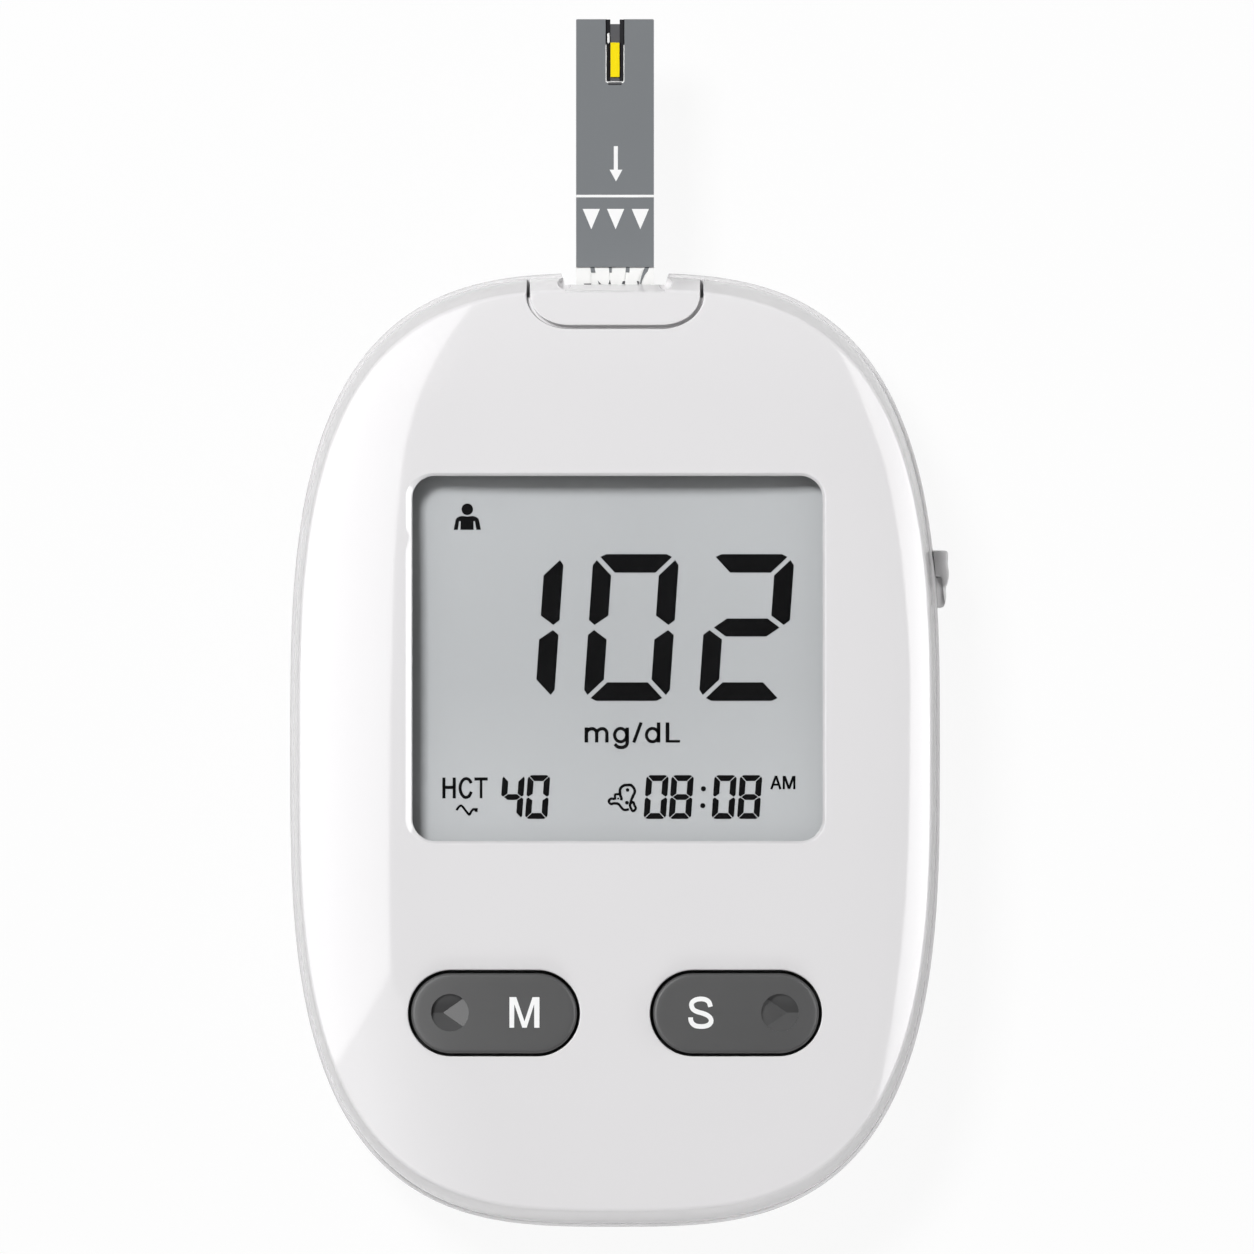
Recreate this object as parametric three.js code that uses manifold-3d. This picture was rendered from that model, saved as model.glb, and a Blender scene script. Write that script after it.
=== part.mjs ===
// A blood glucose meter lying on its back, with a test strip in its port.
// X points right, Y towards the strip port and Z out of the display face. Lengths are in millimetres.
// The origin is on the resting plane, under the middle of the body.
import * as THREE from "three";
import { mergeVertices } from "three/addons/utils/BufferGeometryUtils.js";
import Module from "manifold-3d";

const wasm = await Module();
wasm.setup();

// Fits shared by all pieces
const clearance = 0.3;
const overrun = 2;

// Housing outline and heights. At its corners the outline reaches the corner share of both half sizes.
const bodyHalfWidth = 29.3;
const bodyHalfLength = 43;
const bodyHeight = 19;
const outlineCornerShare = 0.8;
const partingShare = 0.5;
const wall = 1.8;
const backEdgeShare = 0.29;
const lipStep = 0.3;
const lipChamfer = 0.2;
const bandInsetSide = 0.5;
const bandInsetEnd = 1.3;
const bandMidShare = 0.29;
const faceRiseShare = 0.16;
const faceMidShare = 0.044;
const lapHeight = 1;
const lapThickness = 0.8;
const lapRebateWall = 0.9;

// Strip port
const capHalfWidth = 7.65;
const capDepth = 4.8;
const capCornerRadius = 3.2;
const seamGap = 0.3;
const plugMargin = 1.2;
const plugTopShare = 0.726;
const plugLength = 1.9;
const notchHalfWidthLow = 4.45;
const notchHalfWidthHigh = 5.3;
const notchDepth = 1.1;
const notchCreaseSetback = 0.15;

// Test strip
const stripWidth = 7;
const stripLength = 31.7;
const stripOut = 23.9;
const stripHeightShare = 0.63;
const stripBaseThickness = 0.35;
const electrodeThickness = 0.08;
const spacerThickness = 0.12;
const filmThickness = 0.1;
const filmBare = 1.6;
const channelWidth = 1.4;
const channelLength = 5.6;
const tipNotchWidth = 0.85;
const tipNotchDepth = 0.43;
const reagentWidth = 0.8;
const reagentLength = 3.1;
const reagentFromTip = 2.1;
const stripCornerCut = 0.3;
const padPitch = 1.36;
const padGap = 0.35;

// Display
const windowWidthShare = 0.628;
const windowBottomShare = -0.1913;
const windowRadius = 2.2;
const lensMargin = 1.3;
const lensThickness = 1;
const lensTopShare = 0.915;
const lensRibThickness = 1.3;
const glassMargin = 1;
const glassThickness = 0.9;
const glassLedge = 2.8;
const frameWall = 1.2;
const frameSill = 0.9;
const frameCornerRadius = 3;

// Circuit board and what it carries
const boardShare = 0.48;
const boardThickness = 1.2;
const boardMargin = 0.4;
const zebraWidth = 2.2;
const processorSize = 9;
const processorHeight = 1.4;
const memorySize = 5;
const memoryHeight = 1.1;
const crystalLength = 8;
const crystalWidth = 3;
const crystalHeightShare = 0.116;
const chipBevel = 0.15;
const buzzerRadius = 6;
const buzzerHeightShare = 0.158;
const buzzerHoleRadius = 1;
const buzzerPlaceShares = [-0.478, 0.302];

// Strip connector
const connectorHalfWidth = 5.4;
const connectorLength = 7.7;
const connectorTopShare = 0.76;
const connectorGap = 0.4;
const contactWidth = 0.6;
const contactThickness = 0.25;
const contactFoot = 1.3;

// Keys and their switches
const keyLengthShare = 0.2543;
const keyWidth = 7.2;
const keyPlaceShares = [0.371, -0.549];
const keyGap = 0.27;
const keyProud = 0.3;
const keyBevel = 0.35;
const keyFlangeMargin = 1;
const keyFlangeThickness = 1;
const keyTravel = 0.5;
const collarShare = 0.805;
const collarWall = 1.2;
const dimpleRadius = 1.7;
const dimpleOffset = 3.95;
const dimpleApexShift = 0.64;
const dimpleDepth = 0.75;
const dimpleSlopeShare = 0.3;
const stemRadius = 2;
const switchSize = 6;
const stemLength = 0.6;
const plungerRadius = 1.7;
const plungerProud = 0.8;
const plungerSunk = 0.7;

// Ejector
const ejectorTravel = 5;
const sliderLength = 5.2;
const sliderYShare = 0.358;
const sliderReach = 1.65;
const sliderHeightShare = 0.39;
const sliderLowHeightShare = 0.263;
const sliderBottomShare = 0.274;
const sliderCornerRadius = 0.25;
const sliderGap = 0.25;
const sliderRoot = 2;
const lipEdgeShares = [0.92, 0];
const lipBulgeShares = [1, 0.4];
const lipTipShares = [0.8, 0.64];
const lipUnderShares = [0.58, 0.47];
const stepEndShares = [0.8, 1];
const barTopShare = 0.458;
const barThickness = 1.8;
const barWidth = 4.2;
const pusherHalfWidth = 1.5;
const stalkLength = 2;
const noseLength = 2.6;
const neckThickness = 2.3;
const shutterInset = 4.4;
const shutterThickness = 0.8;
const railWall = 1.1;
const springRadius = 1.4;
const springWire = 0.5;
const springPlaceShares = [0.358, 0.628];
const springSeatWidth = 5;
const springSeatThickness = 1.2;
const springSeatDepth = 1.9;

// Battery bay
const cellRadius = 10;
const cellHeight = 3.2;
const cellRim = 0.6;
const cellYShare = -0.395;
const cellBottom = 2.8;
const doorWidth = 26;
const doorLength = 28;
const doorCornerRadius = 3;
const doorRecess = 0.2;
const doorThickness = 1;
const ledgeWidth = 1.3;
const ledgeTop = 2.6;
const bayWall = 1.2;
const bayHeight = 6.4;
const hookWidth = 4;
const hookThickness = 1;
const hookSpacing = 14;
const hookReach = 2.7;
const latchWidth = 8;
const latchSetback = 1.1;
const latchHeight = 2.6;
const doorRibWidth = 1.2;
const doorRibSpacing = 10;
const nailNotchRadius = 5;
const nailNotchDepth = 0.8;
const springStrip = 0.3;
const negativeContactWidth = 5;
const positiveContactWidth = 4;

// Case screws
const screwXShare = 0.597;
const screwTopShare = 0.716;
const screwBottomShare = -0.749;
const screwRadius = 1.1;
const screwHeadRadius = 2.2;
const screwHeadHeight = 1.5;
const screwSink = 3;
const screwSlotWidth = 0.6;
const screwSlotDepth = 0.8;
const screwSlotReachShare = 0.7;
const postRadius = 3.5;
const bossRadius = 2.3;

// How finely round forms are cut into facets
const outlineSteps = 64;
const ringCrowding = 1.5;
const faceRings = 8;
const bandRings = 3;
const edgeRings = 4;
const arcSteps = 5;
const smallRoundSteps = 16;
const largeRoundSteps = 32;
const dimpleSteps = 24;
const springTurns = 6;
const springStepsPerTurn = 9;
const springSides = 5;
const contactCount = 5;
const triangleSides = 3;

// Heights and places that follow from the sizes above
const outlinePower = Math.log(2) / -Math.log(outlineCornerShare);
const bandPower = Math.log(bandMidShare) / -Math.log(2);
const facePower = Math.log(faceMidShare) / -Math.log(2);
const partingHeight = partingShare * bodyHeight;
const faceRise = faceRiseShare * bodyHeight;
const backEdgeRadius = backEdgeShare * bodyHeight;
const creaseHeight = bodyHeight - faceRise;
const frontHalfWidth = bodyHalfWidth - lipStep;
const frontHalfLength = bodyHalfLength - lipStep;
const creaseHalfWidth = frontHalfWidth - bandInsetSide;
const creaseHalfLength = frontHalfLength - bandInsetEnd;
const innerHalfWidth = bodyHalfWidth - wall;
const innerHalfLength = bodyHalfLength - wall;
const lapHalfWidth = frontHalfWidth - lapRebateWall - clearance;
const lapHalfLength = frontHalfLength - lapRebateWall - clearance;
const lapInnerHalfWidth = lapHalfWidth - lapThickness;
const lapInnerHalfLength = lapHalfLength - lapThickness;
const lapTop = partingHeight + lapHeight;
const boardHeight = boardShare * bodyHeight;
const boardTop = boardHeight + boardThickness;
const stripHeight = stripHeightShare * bodyHeight;
const capRearY = bodyHalfLength - capDepth;
const plugRearY = capRearY - plugMargin;
const notchY = bodyHalfLength - notchDepth;
const stripThickness = stripBaseThickness + electrodeThickness + spacerThickness + filmThickness;
const stripSlotBottom = stripHeight - clearance;
const stripSlotTop = stripHeight + stripThickness + clearance;
const stripTipY = notchY + stripOut;
const stripEndY = stripTipY - stripLength;
const connectorFrontY = plugRearY - connectorGap;
const connectorRearY = connectorFrontY - connectorLength;
const connectorTop = connectorTopShare * bodyHeight;
const contactRearY = connectorRearY - clearance - contactFoot;
const lensTop = lensTopShare * bodyHeight;
const lensBottom = lensTop - lensThickness;
const glassTop = lensBottom - clearance;
const glassLowTop = glassTop - glassThickness;
const glassLowBottom = glassLowTop - glassThickness;
const windowWidth = windowWidthShare * 2 * bodyHalfWidth;
const windowTopY = contactRearY - clearance / 2 - frameWall - clearance - glassMargin;
const windowBottomY = windowBottomShare * bodyHalfLength;
const windowLength = windowTopY - windowBottomY;
const windowY = (windowTopY + windowBottomY) / 2;
const glassWidth = windowWidth + 2 * glassMargin;
const glassLength = windowLength + 2 * glassMargin + glassLedge;
const glassY = windowY - glassLedge / 2;
const keyLength = keyLengthShare * 2 * bodyHalfWidth;
const keyX = keyPlaceShares[0] * bodyHalfWidth;
const keyY = keyPlaceShares[1] * bodyHalfLength;
const collarHeight = collarShare * bodyHeight;
const flangeTop = collarHeight - clearance;
const flangeBottom = flangeTop - keyFlangeThickness;
const plungerTop = flangeBottom - stemLength;
const switchTop = plungerTop - plungerProud;
const cellY = cellYShare * bodyHalfLength;
const sliderY = sliderYShare * bodyHalfLength;
const sliderHeight = sliderHeightShare * bodyHeight;
const sliderLowHeight = sliderLowHeightShare * bodyHeight;
const sliderBottom = sliderBottomShare * bodyHeight;
const sliderTopY = sliderY + sliderLength / 2;
const sliderLowY = sliderY - sliderLength / 2;
const barTop = barTopShare * bodyHeight;
const barHeight = barTop - barThickness;
const springX = springPlaceShares[0] * bodyHalfWidth;
const springPostY = springPlaceShares[1] * bodyHalfLength;
const noseFrontY = stripEndY - clearance;
const stalkFrontY = noseFrontY - noseLength;
const stalkRearY = stalkFrontY - stalkLength;
const barFrontY = sliderY + barWidth / 2;
const barRearY = sliderY - barWidth / 2;
const boardNotchY = stalkRearY - clearance;
const railFrontY = boardNotchY - clearance;
const railRearY = barFrontY + ejectorTravel + 2 * clearance;
const pilotTop = creaseHeight - wall;

// Turns a closed geometry into a solid that can be joined and cut.
function solid(geometry) {
  const bare = geometry.clone();
  bare.deleteAttribute("normal");
  bare.deleteAttribute("uv");
  const merged = mergeVertices(bare);
  const corners = merged.index.array;
  const kept = [];
  for (let i = 0; i < corners.length; i += 3) {
    const [a, b, c] = corners.slice(i, i + 3);
    if (a !== b && b !== c && c !== a) kept.push(a, b, c);
  }
  const vertProperties = merged.attributes.position.array;
  return new wasm.Manifold(new wasm.Mesh({ numProp: 3, vertProperties, triVerts: new Uint32Array(kept) }));
}

function join(...solids) {
  return solids.reduce((sum, next) => sum.add(next));
}

function cut(base, ...tools) {
  return tools.reduce((rest, tool) => rest.subtract(tool), base);
}

// A box between two corners.
function box(lowX, highX, lowY, highY, lowZ, highZ) {
  const geometry = new THREE.BoxGeometry(highX - lowX, highY - lowY, highZ - lowZ);
  geometry.translate((lowX + highX) / 2, (lowY + highY) / 2, (lowZ + highZ) / 2);
  return solid(geometry);
}

// An upright cylinder.
function post(radius, x, y, lowZ, highZ, steps = smallRoundSteps) {
  const geometry = new THREE.CylinderGeometry(radius, radius, highZ - lowZ, steps);
  geometry.rotateX(Math.PI / 2);
  geometry.translate(x, y, (lowZ + highZ) / 2);
  return solid(geometry);
}

// A rectangle with round corners, centred on a point. Full corner radii make it an oblong with round ends.
function roundedRectangle(width, length, radius, x = 0, y = 0) {
  const shape = new THREE.Shape();
  const right = x + width / 2 - radius;
  const left = x - width / 2 + radius;
  const top = y + length / 2 - radius;
  const bottom = y - length / 2 + radius;
  shape.absarc(right, top, radius, 0, Math.PI / 2, false);
  shape.absarc(left, top, radius, Math.PI / 2, Math.PI, false);
  shape.absarc(left, bottom, radius, Math.PI, Math.PI * 1.5, false);
  shape.absarc(right, bottom, radius, Math.PI * 1.5, Math.PI * 2, false);
  return shape;
}

// An upright prism of a plan shape.
function prism(shape, lowZ, highZ) {
  const options = { depth: highZ - lowZ, bevelEnabled: false, curveSegments: arcSteps };
  const geometry = new THREE.ExtrudeGeometry(shape, options);
  geometry.translate(0, 0, lowZ);
  return solid(geometry);
}

// A prism that runs along X. Its section has Y across and Z up.
function bar(section, lowX, highX) {
  const options = { depth: highX - lowX, bevelEnabled: false, curveSegments: arcSteps };
  const geometry = new THREE.ExtrudeGeometry(section, options);
  const along = new THREE.Matrix4().makeBasis(
    new THREE.Vector3(0, 1, 0),
    new THREE.Vector3(0, 0, 1),
    new THREE.Vector3(1, 0, 0),
  );
  geometry.applyMatrix4(along);
  geometry.translate(lowX, 0, 0);
  return geometry;
}

function polygon(points) {
  return new THREE.Shape(points.map(([across, up]) => new THREE.Vector2(across, up)));
}

// The outline of a bent metal strip whose one side runs through the points, with its thickness to the left.
function stripSection(points, thickness) {
  const path = points.map(([across, up]) => new THREE.Vector2(across, up));
  const far = path.map((point, i) => {
    const before = path[Math.max(i - 1, 0)];
    const after = path[Math.min(i + 1, path.length - 1)];
    const comingIn = (i > 0 ? point.clone().sub(before) : after.clone().sub(point)).normalize();
    const goingOut = (i < path.length - 1 ? after.clone().sub(point) : comingIn.clone()).normalize();
    const side = new THREE.Vector2(-comingIn.y - goingOut.y, comingIn.x + goingOut.x).normalize();
    const spread = Math.abs(side.dot(new THREE.Vector2(-goingOut.y, goingOut.x)));
    return point.clone().addScaledVector(side, thickness / spread);
  });
  return new THREE.Shape([...path, ...far.reverse()]);
}

// A body with the housing's outline. Each ring has its half width, half length and height.
// The profile turns as a lathe's does, and every vertex is then moved out to the outline.
function outlineLathe(rings) {
  const profile = rings.map((ring) => new THREE.Vector2(ring.halfWidth, ring.height));
  const geometry = new THREE.LatheGeometry(profile, outlineSteps);
  const position = geometry.attributes.position;
  for (let step = 0; step <= outlineSteps; step += 1) {
    const angle = (step / outlineSteps) * Math.PI * 2;
    const across = Math.sign(Math.cos(angle)) * Math.abs(Math.cos(angle)) ** (2 / outlinePower);
    const along = Math.sign(Math.sin(angle)) * Math.abs(Math.sin(angle)) ** (2 / outlinePower);
    rings.forEach((ring, i) => {
      const index = step * rings.length + i;
      position.setXYZ(index, across * ring.halfWidth, along * ring.halfLength, ring.height);
    });
  }
  return solid(geometry);
}

function ring(halfWidth, halfLength, height) {
  return { halfWidth, halfLength, height };
}

// The crowned face, from its crease in to the middle, at a depth under the outer surface.
function faceRingsAt(depth) {
  const rings = [];
  for (let i = 0; i <= faceRings; i += 1) {
    const outShare = 1 - (i / faceRings) ** ringCrowding;
    const height = bodyHeight - depth - faceRise * outShare ** facePower;
    rings.push(ring(outShare * (creaseHalfWidth - depth), outShare * (creaseHalfLength - depth), height));
  }
  return rings;
}

// The height of the outer face over a point of the plan.
function faceHeightAt(x, y) {
  const across = Math.abs(x / creaseHalfWidth) ** outlinePower;
  const along = Math.abs(y / creaseHalfLength) ** outlinePower;
  const outShare = (across + along) ** (1 / outlinePower);
  return bodyHeight - faceRise * outShare ** facePower;
}

// The front half of the housing as one full block, up to its crowned face.
function frontBlock() {
  const rings = [ring(0, 0, partingHeight)];
  for (let i = 0; i < bandRings; i += 1) {
    const upShare = i / bandRings;
    const inShare = upShare ** bandPower;
    const height = partingHeight + upShare * (creaseHeight - partingHeight);
    const halfWidth = frontHalfWidth - bandInsetSide * inShare;
    rings.push(ring(halfWidth, frontHalfLength - bandInsetEnd * inShare, height));
  }
  return outlineLathe([...rings, ...faceRingsAt(0)]);
}

// The front cover's inside. Its lower edge is rebated for the back cover's lap ring.
function frontHollow() {
  const low = partingHeight - overrun;
  const rebateTop = lapTop + clearance;
  const rebateHalfWidth = frontHalfWidth - lapRebateWall;
  const rebateHalfLength = frontHalfLength - lapRebateWall;
  return outlineLathe([
    ring(0, 0, low),
    ring(rebateHalfWidth, rebateHalfLength, low),
    ring(rebateHalfWidth, rebateHalfLength, rebateTop),
    ring(frontHalfWidth - wall, frontHalfLength - wall, rebateTop),
    ...faceRingsAt(wall),
  ]);
}

// The round lower edge of the back cover, from the floor up its flank, at a depth under the outer surface.
function backEdgeRings(depth) {
  const rings = [];
  for (let i = 0; i <= edgeRings; i += 1) {
    const angle = ((i / edgeRings) * Math.PI) / 2;
    const inset = backEdgeRadius - (backEdgeRadius - depth) * Math.sin(angle);
    const height = backEdgeRadius - (backEdgeRadius - depth) * Math.cos(angle);
    rings.push(ring(bodyHalfWidth - inset, bodyHalfLength - inset, height));
  }
  return rings;
}

function backBlock() {
  const rim = [
    ring(bodyHalfWidth, bodyHalfLength, partingHeight - lipChamfer),
    ring(bodyHalfWidth - lipChamfer, bodyHalfLength - lipChamfer, partingHeight),
    ring(0, 0, partingHeight),
  ];
  return outlineLathe([ring(0, 0, 0), ...backEdgeRings(0), ...rim]);
}

function backHollow() {
  const high = partingHeight + overrun;
  return outlineLathe([
    ring(0, 0, wall),
    ...backEdgeRings(wall),
    ring(innerHalfWidth, innerHalfLength, high),
    ring(0, 0, high),
  ]);
}

// A slab with the housing's outline, at a margin inside the given half sizes.
function outlineSlab(halfWidth, halfLength, lowZ, highZ) {
  return outlineLathe([
    ring(0, 0, lowZ),
    ring(halfWidth, halfLength, lowZ),
    ring(halfWidth, halfLength, highZ),
    ring(0, 0, highZ),
  ]);
}

// The plan of the port cap, which runs out past the end of the body. The margin grows it on every side.
function capPlan(margin) {
  const far = bodyHalfLength + overrun;
  const length = far - capRearY + 2 * margin;
  const shape = roundedRectangle(
    2 * (capHalfWidth + margin),
    length + capCornerRadius,
    capCornerRadius + margin,
    0,
    capRearY - margin + (length + capCornerRadius) / 2,
  );
  return shape;
}

// The notch that the strip leaves through: upright below the strip, and leaning back to the crease above it.
// Its side walls flare towards the face.
function stripNotch() {
  const lowZ = -overrun;
  const highZ = bodyHeight + overrun;
  const farY = bodyHalfLength + overrun;
  const creaseY = creaseHalfLength - notchCreaseSetback;
  const section = polygon([
    [notchY, lowZ],
    [farY, lowZ],
    [farY, highZ],
    [creaseY, highZ],
    [creaseY, creaseHeight],
    [notchY, stripSlotTop],
  ]);
  const geometry = bar(section, -notchHalfWidthHigh, notchHalfWidthHigh);
  const position = geometry.attributes.position;
  for (let i = 0; i < position.count; i += 1) {
    const upShare = (position.getZ(i) - lowZ) / (highZ - lowZ);
    const halfWidth = notchHalfWidthLow + upShare * (notchHalfWidthHigh - notchHalfWidthLow);
    position.setX(i, Math.sign(position.getX(i)) * halfWidth);
  }
  return solid(geometry);
}

function stripSlot(lowY, highY) {
  const halfWidth = stripWidth / 2 + clearance;
  return box(-halfWidth, halfWidth, lowY, highY, stripSlotBottom, stripSlotTop);
}

const screwPlaces = [
  [-screwXShare, screwTopShare],
  [screwXShare, screwTopShare],
  [-screwXShare, screwBottomShare],
  [screwXShare, screwBottomShare],
].map(([across, along]) => [across * bodyHalfWidth, along * bodyHalfLength]);
const keyPlaces = [-keyX, keyX];

// The plan of the display frame, grown by a margin.
function displayPlan(margin) {
  return roundedRectangle(
    glassWidth + 2 * (clearance + frameWall) + margin,
    glassLength + 2 * (clearance + frameWall) + margin,
    frameCornerRadius + margin / 2,
    0,
    glassY,
  );
}

// Front cover: a crowned shell with the window, its lens seat, the key collars and the screw bosses inside.
function frontCover() {
  const ribWidth = windowWidth + 2 * (lensMargin + clearance + lensRibThickness);
  const ribLength = windowLength + 2 * (lensMargin + clearance + lensRibThickness);
  const ribPlan = roundedRectangle(ribWidth, ribLength, frameCornerRadius, 0, windowY);
  const block = frontBlock();
  const inner = frontHollow();
  const rib = prism(ribPlan, lensBottom, bodyHeight);
  const collarPlan = keyPlaces.map((x) =>
    roundedRectangle(
      keyLength + 2 * (keyGap + collarWall),
      keyWidth + 2 * (keyGap + collarWall),
      keyWidth / 2 + keyGap + collarWall,
      x,
      keyY,
    ),
  );
  const collars = collarPlan.map((plan) => prism(plan, collarHeight, bodyHeight));
  const bosses = screwPlaces.map(([x, y]) => post(bossRadius, x, y, boardHeight, creaseHeight));
  const fittings = join(rib, ...collars, ...bosses).intersect(join(block, inner));
  const pocketWidth = windowWidth + 2 * (lensMargin + clearance);
  const pocketLength = windowLength + 2 * (lensMargin + clearance);
  const pocketPlan = roundedRectangle(pocketWidth, pocketLength, windowRadius + lensMargin, 0, windowY);
  const windowPlan = roundedRectangle(windowWidth, windowLength, windowRadius, 0, windowY);
  const keyHoles = keyPlaces.map((x) => {
    const width = keyWidth + 2 * keyGap;
    const plan = roundedRectangle(keyLength + 2 * keyGap, width, width / 2, x, keyY);
    return prism(plan, collarHeight - overrun, bodyHeight + overrun);
  });
  const pilotRadius = screwRadius + clearance;
  const pilots = screwPlaces.map(([x, y]) => post(pilotRadius, x, y, boardHeight - overrun, pilotTop));
  return cut(
    join(cut(block, inner), fittings),
    prism(pocketPlan, lensBottom - overrun, lensTop),
    prism(displayPlan(2 * clearance), partingHeight, lensBottom),
    prism(windowPlan, lensBottom, bodyHeight + overrun),
    ...keyHoles,
    ...pilots,
    prism(capPlan(seamGap), partingHeight - overrun, bodyHeight + overrun),
  );
}

// Back cover: a tub with a lap ring, board posts, the ejector's rail and spring seat, and the battery bay.
function backCover() {
  const shell = cut(backBlock(), backHollow());
  const lap = cut(
    outlineSlab(lapHalfWidth, lapHalfLength, partingHeight - lapHeight, lapTop),
    outlineSlab(lapInnerHalfWidth, lapInnerHalfLength, partingHeight - lapHeight - overrun, lapTop + overrun),
  );
  const posts = screwPlaces.map(([x, y]) => post(postRadius, x, y, wall / 2, boardHeight));
  const railHalfWidth = pusherHalfWidth + clearance + railWall;
  const rail = box(-railHalfWidth, railHalfWidth, railRearY, railFrontY, wall / 2, barTop);
  const railGroove = box(
    -pusherHalfWidth - clearance,
    pusherHalfWidth + clearance,
    railRearY - overrun,
    railFrontY + overrun,
    barHeight - clearance,
    barTop + overrun,
  );
  const springSeat = box(
    springX - springSeatWidth / 2,
    springX + springSeatWidth / 2,
    springPostY,
    springPostY + springSeatThickness,
    wall / 2,
    barTop,
  );
  const padPlan = roundedRectangle(
    doorWidth + 2 * (clearance + bayWall),
    doorLength + 2 * (clearance + bayWall),
    doorCornerRadius + clearance + bayWall,
    0,
    cellY,
  );
  const pad = prism(padPlan, wall / 2, ledgeTop);
  const bay = post(cellRadius + clearance + bayWall, 0, cellY, ledgeTop - bayWall, bayHeight, largeRoundSteps);
  const bayBore = post(cellRadius + clearance, 0, cellY, -overrun, bayHeight + overrun, largeRoundSteps);
  const doorPlan = roundedRectangle(
    doorWidth + 2 * clearance,
    doorLength + 2 * clearance,
    doorCornerRadius + clearance,
    0,
    cellY,
  );
  const doorSeat = prism(doorPlan, -overrun, doorRecess + doorThickness + clearance / 2);
  const hookRoom = [-1, 1].map((side) => {
    const x = (side * hookSpacing) / 2;
    const halfWidth = hookWidth / 2 + clearance;
    const hingeY = cellY + doorLength / 2;
    const lowY = hingeY - hookReach - 2 * hookThickness - clearance;
    const highY = hingeY + clearance - ledgeWidth;
    return box(x - halfWidth, x + halfWidth, lowY, highY, -overrun, bayHeight + overrun);
  });
  const contactRoom = box(
    -cellRadius - clearance - bayWall - overrun,
    0,
    cellY - positiveContactWidth / 2 - clearance,
    cellY + positiveContactWidth / 2 + clearance,
    ledgeTop + clearance,
    bayHeight + overrun,
  );
  const latchRoomY = cellY - doorLength / 2 + ledgeWidth + clearance;
  const latchRoom = box(
    -latchWidth / 2 - clearance,
    latchWidth / 2 + clearance,
    latchRoomY,
    cellY,
    -overrun,
    bayHeight + overrun,
  );
  const nailNotch = post(
    nailNotchRadius,
    0,
    cellY - doorLength / 2 - clearance,
    -overrun,
    nailNotchDepth,
    largeRoundSteps,
  );
  const headRooms = screwPlaces.map(([x, y]) => post(screwHeadRadius + clearance, x, y, -overrun, screwSink));
  const shankRadius = screwRadius + clearance;
  const shankHoles = screwPlaces.map(([x, y]) => post(shankRadius, x, y, 0, boardHeight + overrun));
  const slotLowY = barRearY - clearance;
  const slotHighY = barFrontY + ejectorTravel + clearance;
  const lapRoom = box(
    -capHalfWidth - plugMargin - clearance,
    capHalfWidth + plugMargin + clearance,
    plugRearY - clearance,
    bodyHalfLength,
    partingHeight,
    partingHeight + lapHeight + overrun,
  );
  const slot = box(
    lapInnerHalfWidth - overrun,
    bodyHalfWidth + overrun,
    slotLowY,
    slotHighY,
    barHeight - clearance,
    partingHeight + lapHeight + overrun,
  );
  const body = join(shell, lap, ...posts, rail, springSeat, pad, bay);
  return cut(
    body,
    railGroove,
    bayBore,
    doorSeat,
    ...hookRoom,
    contactRoom,
    latchRoom,
    nailNotch,
    ...headRooms,
    ...shankHoles,
    slot,
    lapRoom,
    stripNotch(),
  );
}

// Port cap: the end of the housing's own form, with the strip slot, its notch and a plug
// under the front cover.
function stripPortCap() {
  const outer = frontBlock().intersect(prism(capPlan(0), partingHeight, bodyHeight + overrun));
  const plugHalfWidth = capHalfWidth + plugMargin;
  const plug = box(
    -plugHalfWidth,
    plugHalfWidth,
    plugRearY,
    plugRearY + plugLength,
    partingHeight,
    plugTopShare * bodyHeight,
  );
  return cut(join(outer, plug), stripNotch(), stripSlot(plugRearY - overrun, bodyHalfLength + overrun));
}

function displayLens() {
  const width = windowWidth + 2 * lensMargin;
  const length = windowLength + 2 * lensMargin;
  return prism(roundedRectangle(width, length, windowRadius + lensMargin, 0, windowY), lensBottom, lensTop);
}

function lcdFrontGlass() {
  return box(
    -glassWidth / 2,
    glassWidth / 2,
    glassY - glassLength / 2,
    glassY + glassLength / 2,
    glassLowTop,
    glassTop,
  );
}

// The rear glass stops short of the front one, which leaves a ledge with the display's contacts.
function lcdRearGlass() {
  const lowY = glassY - glassLength / 2 + glassLedge;
  return box(-glassWidth / 2, glassWidth / 2, lowY, glassY + glassLength / 2, glassLowBottom, glassLowTop);
}

function lcdFrame() {
  const inWidth = glassWidth + 2 * clearance;
  const inLength = glassLength + 2 * clearance;
  const top = glassTop - clearance;
  const sillTop = glassLowBottom;
  const wellLowY = glassY - inLength / 2;
  const well = box(-inWidth / 2, inWidth / 2, wellLowY, wellLowY + inLength, sillTop, top + overrun);
  const sillX = glassWidth / 2 - frameSill;
  const sillLowY = glassY - glassLength / 2 + glassLedge + frameSill;
  const sillHighY = glassY + glassLength / 2 - frameSill;
  const shaft = box(-sillX, sillX, sillLowY, sillHighY, boardTop - overrun, top + overrun);
  const zebraLowY = glassY - glassLength / 2;
  const zebraShaft = box(
    -glassWidth / 2,
    glassWidth / 2,
    zebraLowY,
    zebraLowY + zebraWidth + clearance,
    boardTop - overrun,
    top + overrun,
  );
  return cut(prism(displayPlan(0), boardTop, top), well, shaft, zebraShaft);
}

function zebraConnector() {
  const lowY = glassY - glassLength / 2 + clearance;
  const halfWidth = glassWidth / 2 - clearance;
  return box(-halfWidth, halfWidth, lowY, lowY + zebraWidth - clearance, boardTop, glassLowTop);
}

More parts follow.
